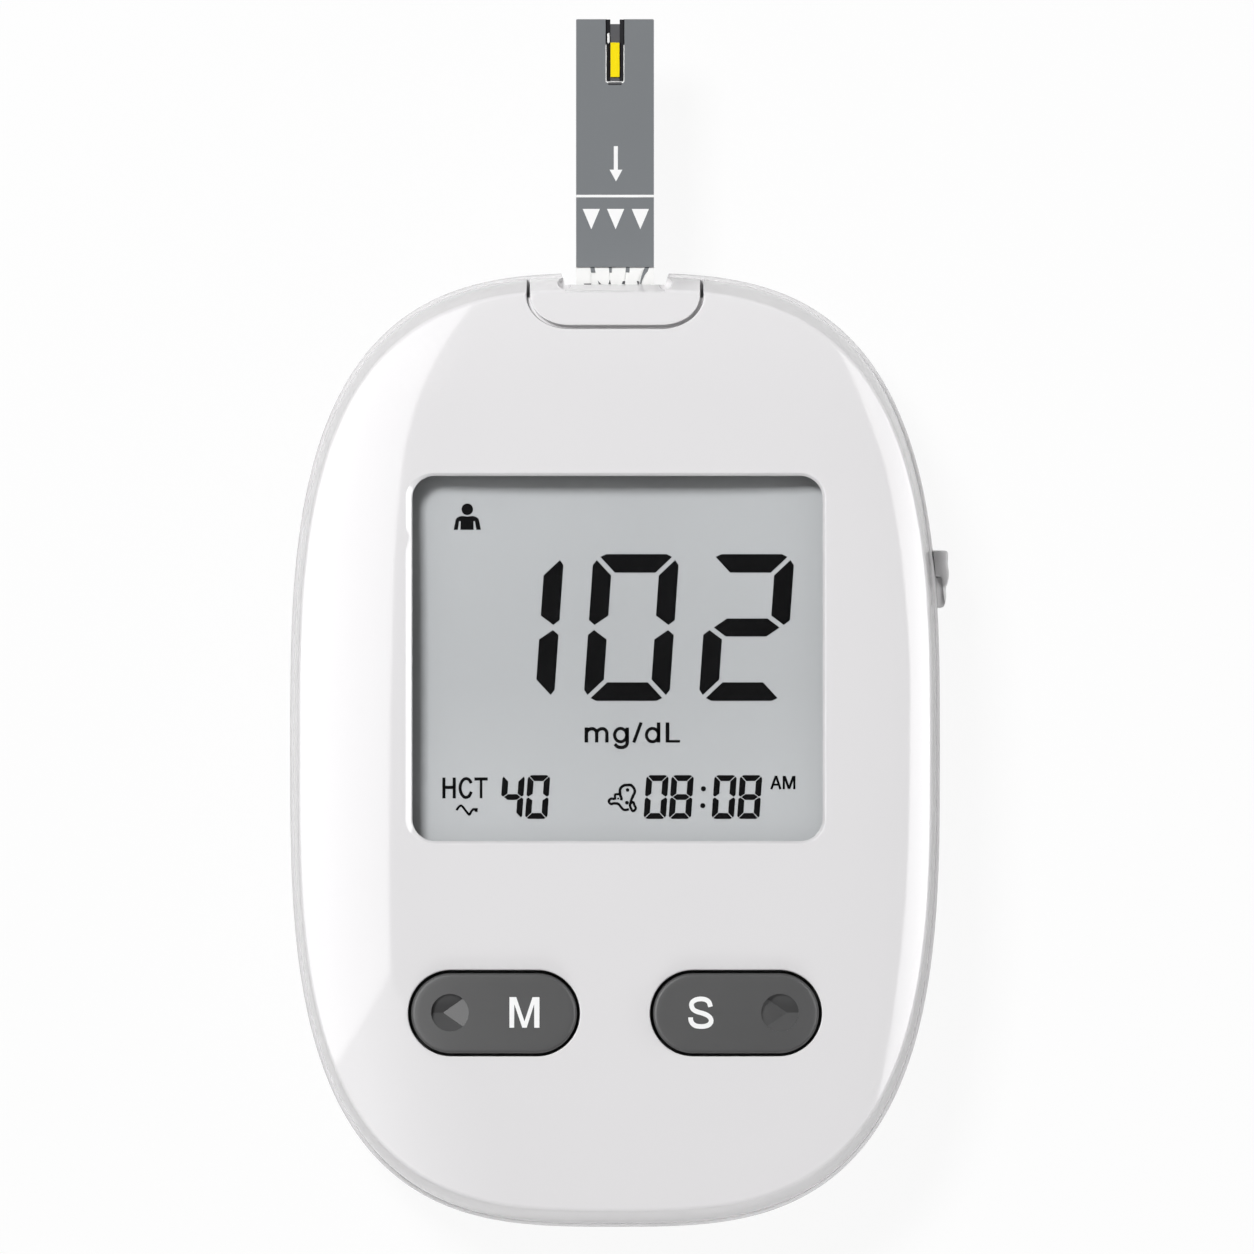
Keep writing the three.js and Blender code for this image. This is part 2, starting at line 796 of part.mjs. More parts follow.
function mainBoard() {
  const halfWidth = lapInnerHalfWidth - boardMargin;
  const slab = outlineSlab(halfWidth, lapInnerHalfLength - boardMargin, boardHeight, boardTop);
  const holes = screwPlaces.map(([x, y]) =>
    post(bossRadius + clearance, x, y, boardHeight - overrun, boardTop + overrun),
  );
  const pusherRoom = box(
    -pusherHalfWidth - clearance,
    pusherHalfWidth + clearance,
    boardNotchY,
    bodyHalfLength,
    boardHeight - overrun,
    boardTop + overrun,
  );
  const plugRoom = box(
    -capHalfWidth - plugMargin - clearance,
    capHalfWidth + plugMargin + clearance,
    plugRearY - clearance,
    bodyHalfLength,
    boardHeight - overrun,
    boardTop + overrun,
  );
  return cut(slab, ...holes, pusherRoom, plugRoom);
}

// A moulded chip package with a bevel all round.
function chip(width, length, height, x, y, lowZ) {
  const plan = roundedRectangle(width - 2 * chipBevel, length - 2 * chipBevel, chipBevel, x, y);
  const options = {
    depth: height - 2 * chipBevel,
    bevelThickness: chipBevel,
    bevelSize: chipBevel,
    bevelSegments: 1,
    curveSegments: 1,
  };
  const geometry = new THREE.ExtrudeGeometry(plan, options);
  geometry.translate(0, 0, lowZ + chipBevel);
  return solid(geometry);
}

function crystalCan() {
  const y = windowY - windowLength / 4;
  const plan = roundedRectangle(crystalLength, crystalWidth, crystalWidth / 2, processorSize, y);
  return prism(plan, boardTop, boardTop + crystalHeightShare * bodyHeight);
}

// A sounder can under the board, with its sound hole below.
function buzzer() {
  const height = buzzerHeightShare * bodyHeight;
  const lowZ = boardHeight - height;
  const x = buzzerPlaceShares[0] * bodyHalfWidth;
  const y = buzzerPlaceShares[1] * bodyHalfLength;
  const can = post(buzzerRadius, x, y, lowZ, boardHeight, largeRoundSteps);
  return cut(can, post(buzzerHoleRadius, x, y, lowZ - overrun, lowZ + height / 2));
}

const contactPlaces = Array.from({ length: contactCount }, (_, i) => (i - (contactCount - 1) / 2) * padPitch);

// Strip connector: a socket for the strip, open below for the pusher, with a groove over each contact.
function stripConnector() {
  const block = box(
    -connectorHalfWidth,
    connectorHalfWidth,
    connectorRearY,
    connectorFrontY,
    boardTop,
    connectorTop,
  );
  const pusherRoom = box(
    -pusherHalfWidth - clearance,
    pusherHalfWidth + clearance,
    connectorRearY - overrun,
    connectorFrontY + overrun,
    boardTop - overrun,
    stripSlotTop,
  );
  const grooves = contactPlaces.map((x) =>
    box(
      x - contactWidth / 2 - clearance / 2,
      x + contactWidth / 2 + clearance / 2,
      connectorRearY - overrun,
      connectorFrontY + overrun,
      stripHeight,
      connectorTop - contactThickness - clearance,
    ),
  );
  return cut(block, pusherRoom, stripSlot(stripEndY - clearance, connectorFrontY + overrun), ...grooves);
}

// One contact spring: a foot on the board, a riser, an arm in its groove and a bead over the strip's pad.
function stripContact(x) {
  const riserY = connectorRearY - clearance;
  const armZ = connectorTop - 2 * contactThickness - 2 * clearance;
  const beadZ = stripSlotTop;
  const beadY = (stripEndY + connectorFrontY) / 2;
  const section = stripSection(
    [
      [contactRearY, boardTop],
      [riserY - contactThickness, boardTop],
      [riserY - contactThickness, armZ],
      [beadY - 2 * contactThickness, armZ],
      [beadY, beadZ],
      [beadY + 2 * contactThickness, beadZ + contactThickness],
    ],
    contactThickness,
  );
  return solid(bar(section, x - contactWidth / 2, x + contactWidth / 2));
}

// A key: a crowned oblong cap that follows the face, a flange under the collar and a stem over its switch.
function key(x) {
  const plan = roundedRectangle(
    keyLength - 2 * keyBevel,
    keyWidth - 2 * keyBevel,
    keyWidth / 2 - keyBevel,
    x,
    keyY,
  );
  const capTop = bodyHeight + keyProud;
  const options = {
    depth: capTop - flangeBottom - 2 * keyBevel,
    bevelThickness: keyBevel,
    bevelSize: keyBevel,
    bevelSegments: 2,
    curveSegments: arcSteps,
  };
  const geometry = new THREE.ExtrudeGeometry(plan, options);
  geometry.translate(0, 0, flangeBottom + keyBevel);
  const position = geometry.attributes.position;
  for (let i = 0; i < position.count; i += 1) {
    const height = position.getZ(i);
    const fall = bodyHeight - faceHeightAt(position.getX(i), position.getY(i));
    if (height > collarHeight) position.setZ(i, height - fall);
  }
  const flangePlan = roundedRectangle(
    keyLength + 2 * keyFlangeMargin,
    keyWidth + 2 * keyFlangeMargin,
    keyWidth / 2 + keyFlangeMargin,
    x,
    keyY,
  );
  const flange = prism(flangePlan, flangeBottom, flangeTop);
  const stem = post(stemRadius, x, keyY, plungerTop, flangeTop);
  return cut(join(solid(geometry), flange, stem), keyDimple(x));
}

// The round dimple on the outer half of a key: three sloping facets that meet at a point set off its centre.
function keyDimple(x) {
  const outward = Math.sign(x);
  const centreX = x + outward * dimpleOffset;
  const apexX = centreX + outward * dimpleApexShift;
  const surface = faceHeightAt(centreX, keyY) + keyProud;
  const height = dimpleDepth + overrun;
  const inRadius = height / dimpleSlopeShare;
  const cone = new THREE.ConeGeometry(2 * inRadius, height, triangleSides);
  cone.rotateX(-Math.PI / 2);
  cone.rotateZ(outward * Math.PI * 0.5);
  cone.translate(apexX, keyY, surface - dimpleDepth + height / 2);
  const round = post(dimpleRadius, centreX, keyY, surface - overrun, surface + overrun, dimpleSteps);
  return round.intersect(solid(cone));
}

function keySwitch(x) {
  const half = switchSize / 2;
  const base = box(x - half, x + half, keyY - half, keyY + half, boardTop, switchTop);
  const boreBottom = switchTop - plungerSunk - keyTravel - clearance;
  return cut(base, post(plungerRadius + clearance, x, keyY, boreBottom, switchTop + overrun));
}

function switchPlunger(x) {
  return post(plungerRadius, x, keyY, switchTop - plungerSunk, plungerTop);
}

// The thumb piece in plan. The hooked lip stands over the lower step, which ends further back.
function sliderPlans() {
  const root = bodyHalfWidth - sliderRoot;
  const faceX = bodyHalfWidth - sliderReach / 2;
  const depth = bodyHalfWidth + sliderReach / 2 - faceX;
  const at = ([outShare, backShare]) => [faceX + outShare * depth, sliderTopY - backShare * sliderLength];
  const lip = new THREE.Shape();
  const [edgeX] = at(lipEdgeShares);
  const [bulgeX, bulgeY] = at(lipBulgeShares);
  const [tipX, tipY] = at(lipTipShares);
  const [underX, underY] = at(lipUnderShares);
  lip.moveTo(root, underY);
  lip.lineTo(underX, underY);
  lip.quadraticCurveTo(underX + (tipX - underX) / 2, (underY + tipY) / 2, tipX, tipY);
  lip.quadraticCurveTo(bulgeX, tipY, bulgeX, bulgeY);
  lip.quadraticCurveTo(edgeX, (bulgeY + sliderTopY) / 2, edgeX, sliderTopY - sliderCornerRadius);
  lip.absarc(edgeX - sliderCornerRadius, sliderTopY - sliderCornerRadius, sliderCornerRadius, 0, Math.PI / 2);
  lip.lineTo(root, sliderTopY);
  const step = new THREE.Shape();
  const [lowX] = at(stepEndShares);
  const cornerRadius = 2 * sliderCornerRadius;
  step.moveTo(root, sliderLowY);
  step.absarc(lowX - cornerRadius, sliderLowY + cornerRadius, cornerRadius, -Math.PI / 2, 0);
  step.lineTo(underX, underY);
  step.lineTo(underX, sliderTopY - sliderCornerRadius);
  step.lineTo(root, sliderTopY - sliderCornerRadius);
  return { lip, step };
}

// Ejector: the thumb piece outside, a neck through the housing's slot, a shutter that closes the slot inside,
// a cross bar under the board, and a pusher that comes up through the board behind the strip.
function ejectorSlider() {
  const { lip, step } = sliderPlans();
  const lipSolid = prism(lip, sliderBottom, sliderBottom + sliderHeight);
  const stepSolid = prism(step, sliderBottom, sliderBottom + sliderLowHeight);
  const housing = outlineSlab(
    bodyHalfWidth + sliderGap,
    bodyHalfLength + sliderGap,
    -overrun,
    bodyHeight + overrun,
  );
  const thumb = cut(join(lipSolid, stepSolid), housing);
  const neckLowX = innerHalfWidth - clearance;
  const neckHighX = bodyHalfWidth + sliderGap * 2;
  const neck = box(neckLowX, neckHighX, barRearY, barFrontY, barHeight, barHeight + neckThickness);
  const crossBar = box(-pusherHalfWidth, neckLowX, barRearY, barFrontY, barHeight, barTop);
  const longBar = box(-pusherHalfWidth, pusherHalfWidth, barRearY, stalkFrontY, barHeight, barTop);
  const noseTop = stripHeight + stripBaseThickness + electrodeThickness;
  const stalk = box(-pusherHalfWidth, pusherHalfWidth, stalkRearY, stalkFrontY, barHeight, noseTop);
  const nose = box(-pusherHalfWidth, pusherHalfWidth, stalkFrontY, noseFrontY, stripHeight, noseTop);
  const seat = box(
    springX - springSeatWidth / 2,
    springX + springSeatWidth / 2,
    barFrontY - springSeatThickness,
    barFrontY,
    barHeight - springSeatDepth,
    barTop,
  );
  const shutterX = lapInnerHalfWidth - shutterInset;
  const shutter = box(
    shutterX,
    shutterX + shutterThickness,
    barRearY - ejectorTravel - 2 * clearance,
    barFrontY + ejectorTravel + 2 * clearance,
    barHeight - 2 * clearance,
    barTop,
  );
  return join(thumb, neck, crossBar, longBar, stalk, nose, seat, shutter);
}

// The return spring, a helix along Y between the ejector's seat and the back cover's.
class SpringPath extends THREE.Curve {
  getPoint(share, target = new THREE.Vector3()) {
    const lowY = barFrontY + clearance + springWire / 2;
    const highY = springPostY - clearance - springWire / 2;
    const angle = share * springTurns * Math.PI * 2;
    const centreZ = barTop - springRadius - springWire / 2;
    return target.set(
      springX + springRadius * Math.cos(angle),
      lowY + share * (highY - lowY),
      centreZ + springRadius * Math.sin(angle),
    );
  }
}

function ejectorSpring() {
  const corners = Array.from({ length: springSides }, (_, i) => {
    const angle = (i / springSides) * Math.PI * 2;
    return [(springWire / 2) * Math.cos(angle), (springWire / 2) * Math.sin(angle)];
  });
  const section = polygon(corners);
  const options = {
    steps: springTurns * springStepsPerTurn,
    extrudePath: new SpringPath(),
    bevelEnabled: false,
  };
  return solid(new THREE.ExtrudeGeometry(section, options));
}

// A coin cell, can upwards: a wide can with a smaller lid on the side that faces the board.
function batteryCell() {
  const top = cellBottom + cellHeight;
  const profile = [
    [0, cellBottom],
    [cellRadius - cellRim / 2, cellBottom],
    [cellRadius, cellBottom + cellRim / 2],
    [cellRadius, top - cellRim],
    [cellRadius - cellRim, top - cellRim / 2],
    [cellRadius - 2 * cellRim, top - cellRim / 2],
    [cellRadius - 2 * cellRim, top],
    [0, top],
  ].map(([radius, height]) => new THREE.Vector2(radius, height));
  const geometry = new THREE.LatheGeometry(profile, largeRoundSteps);
  geometry.rotateX(Math.PI / 2);
  geometry.scale(1, -1, 1);
  geometry.index.array.reverse();
  geometry.translate(0, cellY, 0);
  return solid(geometry);
}

// The leaf that presses on the cell's lid, soldered to the underside of the board.
function negativeContact() {
  const top = cellBottom + cellHeight;
  const leafZ = top + clearance;
  const footY = cellY + cellRadius - clearance;
  const section = stripSection(
    [
      [footY, boardHeight],
      [footY - 2 * negativeContactWidth / 3, boardHeight],
      [cellY + springStrip, leafZ + springStrip],
      [cellY - negativeContactWidth / 3, leafZ + 2 * springStrip],
    ],
    springStrip,
  );
  return solid(bar(section, -negativeContactWidth / 2, negativeContactWidth / 2));
}

// The upright leaf beside the cell, which touches its can.
function positiveContact() {
  const leafX = -cellRadius - clearance;
  const section = polygon([
    [leafX, cellBottom + cellRim],
    [leafX, boardHeight],
    [leafX - positiveContactWidth / 2, boardHeight],
    [leafX - positiveContactWidth / 2, boardHeight - springStrip],
    [leafX - springStrip, boardHeight - springStrip],
    [leafX - springStrip, cellBottom + cellRim],
  ]);
  const options = { depth: positiveContactWidth, bevelEnabled: false };
  const geometry = new THREE.ExtrudeGeometry(section, options);
  geometry.rotateX(Math.PI / 2);
  geometry.translate(0, cellY + positiveContactWidth / 2, 0);
  return solid(geometry);
}

// Battery door: a flush plate with two hooks at its hinge end, a latch tongue and two ribs under the cell.
function batteryDoor() {
  const plan = roundedRectangle(doorWidth, doorLength, doorCornerRadius, 0, cellY);
  const plate = prism(plan, doorRecess, doorRecess + doorThickness);
  const plateTop = doorRecess + doorThickness;
  const hingeY = cellY + doorLength / 2;
  const hooks = [-1, 1].map((side) => {
    const x = (side * hookSpacing) / 2;
    const rearY = hingeY - ledgeWidth - hookThickness;
    const hookLowZ = ledgeTop + clearance;
    const section = polygon([
      [rearY, plateTop - doorThickness / 2],
      [rearY + hookThickness, plateTop - doorThickness / 2],
      [rearY + hookThickness, hookLowZ],
      [rearY + hookReach, hookLowZ],
      [rearY + hookReach, hookLowZ + hookThickness],
      [rearY, hookLowZ + hookThickness],
    ]);
    return solid(bar(section, x - hookWidth / 2, x + hookWidth / 2));
  });
  const latchY = cellY - doorLength / 2 + ledgeWidth + latchSetback;
  const latch = box(
    -latchWidth / 2,
    latchWidth / 2,
    latchY,
    latchY + hookThickness,
    plateTop - doorThickness / 2,
    plateTop + latchHeight,
  );
  const ribs = [-1, 1].map((side) => {
    const x = (side * doorRibSpacing) / 2;
    const reach = cellRadius / 2;
    const ribTop = cellBottom - clearance;
    const low = plateTop - doorThickness / 2;
    return box(x - doorRibWidth / 2, x + doorRibWidth / 2, cellY - reach, cellY + reach, low, ribTop);
  });
  return join(plate, ...hooks, latch, ...ribs);
}

// A case screw driven from the back, with a cross recess in its head.
function caseScrew(x, y) {
  const headBottom = screwSink - screwHeadHeight;
  const tip = pilotTop - clearance;
  const profile = [
    [0, headBottom],
    [screwHeadRadius, headBottom],
    [screwHeadRadius, screwSink],
    [screwRadius, screwSink],
    [screwRadius, tip - screwRadius],
    [0, tip],
  ].map(([radius, height]) => new THREE.Vector2(radius, height));
  const geometry = new THREE.LatheGeometry(profile, smallRoundSteps);
  geometry.rotateX(Math.PI / 2);
  geometry.scale(1, -1, 1);
  geometry.index.array.reverse();
  geometry.translate(x, y, 0);
  const reach = screwHeadRadius * screwSlotReachShare;
  const half = screwSlotWidth / 2;
  const slotTop = headBottom + screwSlotDepth;
  return cut(
    solid(geometry),
    box(x - reach, x + reach, y - half, y + half, headBottom - overrun, slotTop),
    box(x - half, x + half, y - reach, y + reach, headBottom - overrun, slotTop),
  );
}

// One layer of the strip in plan, between two heights, from a place along it to the tip.
function stripLayer(fromY, lowZ, thickness, tipWidth) {
  const half = stripWidth / 2;
  const notch = tipWidth / 2;
  const plan = polygon([
    [-half, fromY],
    [half, fromY],
    [half, stripTipY - stripCornerCut],
    [half - stripCornerCut, stripTipY],
    [notch, stripTipY],
    [notch, stripTipY - tipNotchDepth],
    [-notch, stripTipY - tipNotchDepth],
    [-notch, stripTipY],
    [-half + stripCornerCut, stripTipY],
    [-half, stripTipY - stripCornerCut],
  ]);
  return prism(plan, lowZ, lowZ + thickness);
}

const electrodeHeight = stripHeight + stripBaseThickness;
const spacerHeight = electrodeHeight + electrodeThickness;
const filmHeight = spacerHeight + spacerThickness;
const filmEndY = notchY + filmBare;
const channelEndY = stripTipY - channelLength;

function stripBase() {
  return stripLayer(stripEndY, stripHeight, stripBaseThickness, tipNotchWidth);
}

// The electrode layer: a comb whose teeth are the bare pads at the inner end of the strip.
function stripElectrodes() {
  const half = stripWidth / 2 - padGap / 2;
  const sheet = box(-half, half, filmEndY, channelEndY, electrodeHeight, electrodeHeight + electrodeThickness);
  const padHalf = (padPitch - padGap) / 2;
  const pads = contactPlaces.map((x) =>
    box(x - padHalf, x + padHalf, stripEndY, filmEndY, electrodeHeight, electrodeHeight + electrodeThickness),
  );
  return join(sheet, ...pads);
}

function channelCut(lowZ, highZ) {
  return box(-channelWidth / 2, channelWidth / 2, channelEndY, stripTipY + overrun, lowZ, highZ);
}

function stripSpacer() {
  const layer = stripLayer(filmEndY, spacerHeight, spacerThickness, tipNotchWidth);
  return cut(layer, channelCut(spacerHeight - overrun, spacerHeight + overrun));
}

function stripCoverFilm() {
  const layer = stripLayer(filmEndY, filmHeight, filmThickness, tipNotchWidth);
  return cut(layer, channelCut(filmHeight - overrun, filmHeight + overrun));
}

function stripReagentPad() {
  const half = reagentWidth / 2;
  const highY = stripTipY - reagentFromTip;
  const top = filmHeight + filmThickness / 2;
  return box(-half, half, highY - reagentLength, highY, electrodeHeight, top);
}

// Finishes
function finish(color, roughness, metalness) {
  return new THREE.MeshStandardMaterial({ color, roughness, metalness });
}
const whiteShell = finish(0xe4e3e4, 0.25, 0);
const greyKey = finish(0x5d5d5d, 0.55, 0);
const sliderGrey = finish(0xa3a2a3, 0.5, 0);
const clearLens = finish(0xf4f7f8, 0.05, 0);
const displayGlass = finish(0xbec2c4, 0.3, 0);
const framePlastic = finish(0x2e2f31, 0.6, 0);
const boardGreen = finish(0x1f5a3c, 0.5, 0);
const chipBlack = finish(0x1b1b1d, 0.5, 0);
const metalGold = finish(0xcaa24a, 0.3, 1);
const metalSteel = finish(0xb4b6b8, 0.3, 1);
const rubberGrey = finish(0x6f7072, 0.8, 0);
const stripWhite = finish(0xf2f2f0, 0.5, 0);
const stripGrey = finish(0x7e8284, 0.5, 0);
const reagentYellow = finish(0xf4dc08, 0.6, 0);

function toMesh(name, body, material) {
  const { vertProperties, triVerts } = body.getMesh();
  const geometry = new THREE.BufferGeometry();
  geometry.setAttribute("position", new THREE.Float32BufferAttribute(vertProperties, 3));
  geometry.setIndex(new THREE.Uint32BufferAttribute(triVerts, 1));
  const flat = geometry.toNonIndexed();
  flat.computeVertexNormals();
  const mesh = new THREE.Mesh(flat, material);
  mesh.name = name;
  return mesh;
}

const meter = new THREE.Group();
meter.name = "blood_glucose_meter";

const housing = new THREE.Group();
housing.add(toMesh("front_cover", frontCover(), whiteShell));
housing.add(toMesh("back_cover", backCover(), whiteShell));
housing.add(toMesh("strip_port_cap", stripPortCap(), whiteShell));
housing.add(toMesh("display_lens", displayLens(), clearLens));
screwPlaces.forEach(([x, y], i) => {
  housing.add(toMesh("case_screw_" + (i + 1), caseScrew(x, y), metalSteel));
});

const display = new THREE.Group();
display.add(toMesh("lcd_front_glass", lcdFrontGlass(), displayGlass));
display.add(toMesh("lcd_rear_glass", lcdRearGlass(), displayGlass));
display.add(toMesh("lcd_frame", lcdFrame(), framePlastic));
display.add(toMesh("zebra_connector", zebraConnector(), rubberGrey));

const electronics = new THREE.Group();
electronics.add(toMesh("main_board", mainBoard(), boardGreen));
const processor = chip(processorSize, processorSize, processorHeight, -processorSize / 2, windowY, boardTop);
electronics.add(toMesh("processor_chip", processor, chipBlack));
const memory = chip(memorySize, memorySize, memoryHeight, processorSize, windowY + memorySize, boardTop);
electronics.add(toMesh("memory_chip", memory, chipBlack));
electronics.add(toMesh("crystal", crystalCan(), metalSteel));
electronics.add(toMesh("buzzer", buzzer(), chipBlack));
electronics.add(toMesh("strip_connector", stripConnector(), framePlastic));
contactPlaces.forEach((x, i) => {
  electronics.add(toMesh("strip_contact_" + (i + 1), stripContact(x), metalGold));
});

const keys = new THREE.Group();
keys.add(toMesh("memory_button", key(-keyX), greyKey));
keys.add(toMesh("set_button", key(keyX), greyKey));
keys.add(toMesh("memory_switch", keySwitch(-keyX), chipBlack));
keys.add(toMesh("set_switch", keySwitch(keyX), chipBlack));
keys.add(toMesh("memory_switch_plunger", switchPlunger(-keyX), rubberGrey));
keys.add(toMesh("set_switch_plunger", switchPlunger(keyX), rubberGrey));

const ejector = new THREE.Group();
ejector.add(toMesh("ejector_slider", ejectorSlider(), sliderGrey));
ejector.add(toMesh("ejector_spring", ejectorSpring(), metalSteel));

const power = new THREE.Group();
power.add(toMesh("battery_cell", batteryCell(), metalSteel));
power.add(toMesh("battery_contact_negative", negativeContact(), metalGold));
power.add(toMesh("battery_contact_positive", positiveContact(), metalGold));
power.add(toMesh("battery_door", batteryDoor(), whiteShell));

const testStrip = new THREE.Group();
testStrip.add(toMesh("strip_base", stripBase(), stripWhite));
testStrip.add(toMesh("strip_electrodes", stripElectrodes(), stripWhite));
testStrip.add(toMesh("strip_spacer", stripSpacer(), stripWhite));
testStrip.add(toMesh("strip_cover_film", stripCoverFilm(), stripGrey));
testStrip.add(toMesh("strip_reagent_pad", stripReagentPad(), reagentYellow));

meter.add(housing, display, electronics, keys, ejector, power, testStrip);

export default meter;
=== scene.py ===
# %% [markdown]
# # A blood glucose meter with a test strip in its port
# The imported model is loaded first and stays fixed. It is in metres, the meter lies on its back, X points right,
# Y towards the strip port and Z out of the display.

# %% Load the imported model
import math

import bmesh
import bpy
from mathutils import Matrix, Vector


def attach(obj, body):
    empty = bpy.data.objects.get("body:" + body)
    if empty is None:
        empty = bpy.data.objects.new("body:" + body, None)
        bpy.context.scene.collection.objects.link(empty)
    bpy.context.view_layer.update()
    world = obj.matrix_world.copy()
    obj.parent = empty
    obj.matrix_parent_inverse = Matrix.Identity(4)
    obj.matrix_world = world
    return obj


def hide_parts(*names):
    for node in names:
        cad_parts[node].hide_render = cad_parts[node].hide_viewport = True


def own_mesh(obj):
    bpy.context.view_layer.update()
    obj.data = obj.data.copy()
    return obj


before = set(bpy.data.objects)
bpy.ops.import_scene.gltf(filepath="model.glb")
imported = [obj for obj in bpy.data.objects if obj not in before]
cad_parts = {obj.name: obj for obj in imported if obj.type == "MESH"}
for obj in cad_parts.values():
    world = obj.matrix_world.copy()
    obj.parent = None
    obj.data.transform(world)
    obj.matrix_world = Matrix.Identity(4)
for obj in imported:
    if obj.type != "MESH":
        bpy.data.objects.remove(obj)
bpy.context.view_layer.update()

# %% [markdown]
# ## The camera
# The photograph looks straight down on the meter. A very long lens from far away keeps the sides from leaning,
# as in the photograph. The lens follows from the width of the view and the distance.

# %% The camera
MM = 0.001
VIEW_CENTRE = (1.08, 11.08)
VIEW_WIDTH = 112.97
VIEW_HEIGHT = 2500
MIDDLE_HEIGHT = 11
SENSOR = 36
camera_data = bpy.data.cameras.new("camera")
camera_data.sensor_width = SENSOR
camera_data.lens = SENSOR * (VIEW_HEIGHT - MIDDLE_HEIGHT) / VIEW_WIDTH
camera_data.clip_end = 20
camera = bpy.data.objects.new("camera", camera_data)
camera.location = Vector((*VIEW_CENTRE, VIEW_HEIGHT)) * MM
bpy.context.scene.collection.objects.link(camera)
bpy.context.scene.camera = camera
print("lens", round(camera_data.lens, 1))

# %% [markdown]
# ## The light
# One soft lamp above, a little to the upper left, gives the light and the soft shadows, and a pale world fills
# them. Two weaker lamps near the floor, on the right and at the near end, light the upright sides, as a white table
# does on a real one. The camera sees white wherever it looks past the object. The three softboxes that the gloss
# mirrors come later, because they need the material helpers.

# %% The lamps
LAMP_HEIGHT = 1.0
LOW_DISTANCE, LOW_HEIGHT, LOW_WIDE, LOW_TALL = 0.98, 0.14, 0.5, 0.1
LOW_AIM = (0, 0, 0.012)


def lamp(name, place, wide, tall, radiance, aim=None):
    """A rectangle of light. It faces straight down, or the place that it aims at. Gloss doesn't mirror it."""
    area = bpy.data.lights.new(name, "AREA")
    area.shape = "RECTANGLE"
    area.size, area.size_y = wide, tall
    area.energy = radiance * math.pi * wide * tall
    holder = bpy.data.objects.new(name, area)
    holder.location = place
    if aim is not None:
        holder.rotation_euler = (Vector(aim) - Vector(place)).to_track_quat("-Z", "Y").to_euler()
    holder.visible_camera = False
    holder.visible_glossy = False
    bpy.context.scene.collection.objects.link(holder)


lamp("main_lamp", (-0.37, 0.49, LAMP_HEIGHT), 0.30, 0.27, 54.3)
lamp("right_low_lamp", (LOW_DISTANCE, 0, LOW_HEIGHT), LOW_WIDE, LOW_TALL, 20, LOW_AIM)
lamp("near_low_lamp", (0, -LOW_DISTANCE, LOW_HEIGHT), LOW_WIDE, LOW_TALL, 28, LOW_AIM)

# %% The world
FILL_STRENGTH, BACKDROP_STRENGTH = 0.2, 1


def white_light(strength):
    """Even white light from all around."""
    shade = world_nodes.nodes.new("ShaderNodeBackground")
    shade.inputs["Color"].default_value = (1, 1, 1, 1)
    shade.inputs["Strength"].default_value = strength
    return shade.outputs[0]


world = bpy.data.worlds.new("studio")
world.use_nodes = True
bpy.context.scene.world = world
world_nodes = world.node_tree
world_nodes.nodes.clear()
seen = world_nodes.nodes.new("ShaderNodeLightPath").outputs["Is Camera Ray"]
choose = world_nodes.nodes.new("ShaderNodeMixShader")
world_out = world_nodes.nodes.new("ShaderNodeOutputWorld")
for place, wire in zip(choose.inputs, (seen, white_light(FILL_STRENGTH), white_light(BACKDROP_STRENGTH))):
    world_nodes.links.new(wire, place)
world_nodes.links.new(choose.outputs[0], world_out.inputs[0])
bpy.context.scene.view_settings.view_transform = "Standard"
print("world nodes", len(world_nodes.nodes))

# %% [markdown]
# ## Shader maths
# A wire stands for one socket of a material. Arithmetic on wires adds Math nodes, so that a pattern reads like
# the formula that it is. Colours go through a Mix node instead, because a Math node would turn them grey.

# %% The wire


class Wire:
    """One output socket of a material's nodes."""

    def __init__(self, tree, socket):
        self.tree = tree
        self.socket = socket

    def maths(self, operation, *values):
        node = self.tree.nodes.new("ShaderNodeMath")
        node.operation = operation
        for place, value in zip(node.inputs, values):
            plug(self.tree, place, value)
        return Wire(self.tree, node.outputs[0])

    def __add__(self, other):
        return self.maths("ADD", self, other)

    def __sub__(self, other):
        return self.maths("SUBTRACT", self, other)

    def __rsub__(self, other):
        return self.maths("SUBTRACT", other, self)

    def __mul__(self, other):
        return self.maths("MULTIPLY", self, other)

    __radd__ = __add__
    __rmul__ = __mul__


def plug(tree, place, value):
    """Sets a socket to a value, or links a wire to it."""
    if isinstance(value, Wire):
        tree.links.new(value.socket, place)
    elif isinstance(value, tuple) and len(value) == 3 and place.type == "RGBA":
        place.default_value = (*value, 1)
    else:
        place.default_value = value


print("wires add Math nodes")

# %% The finish


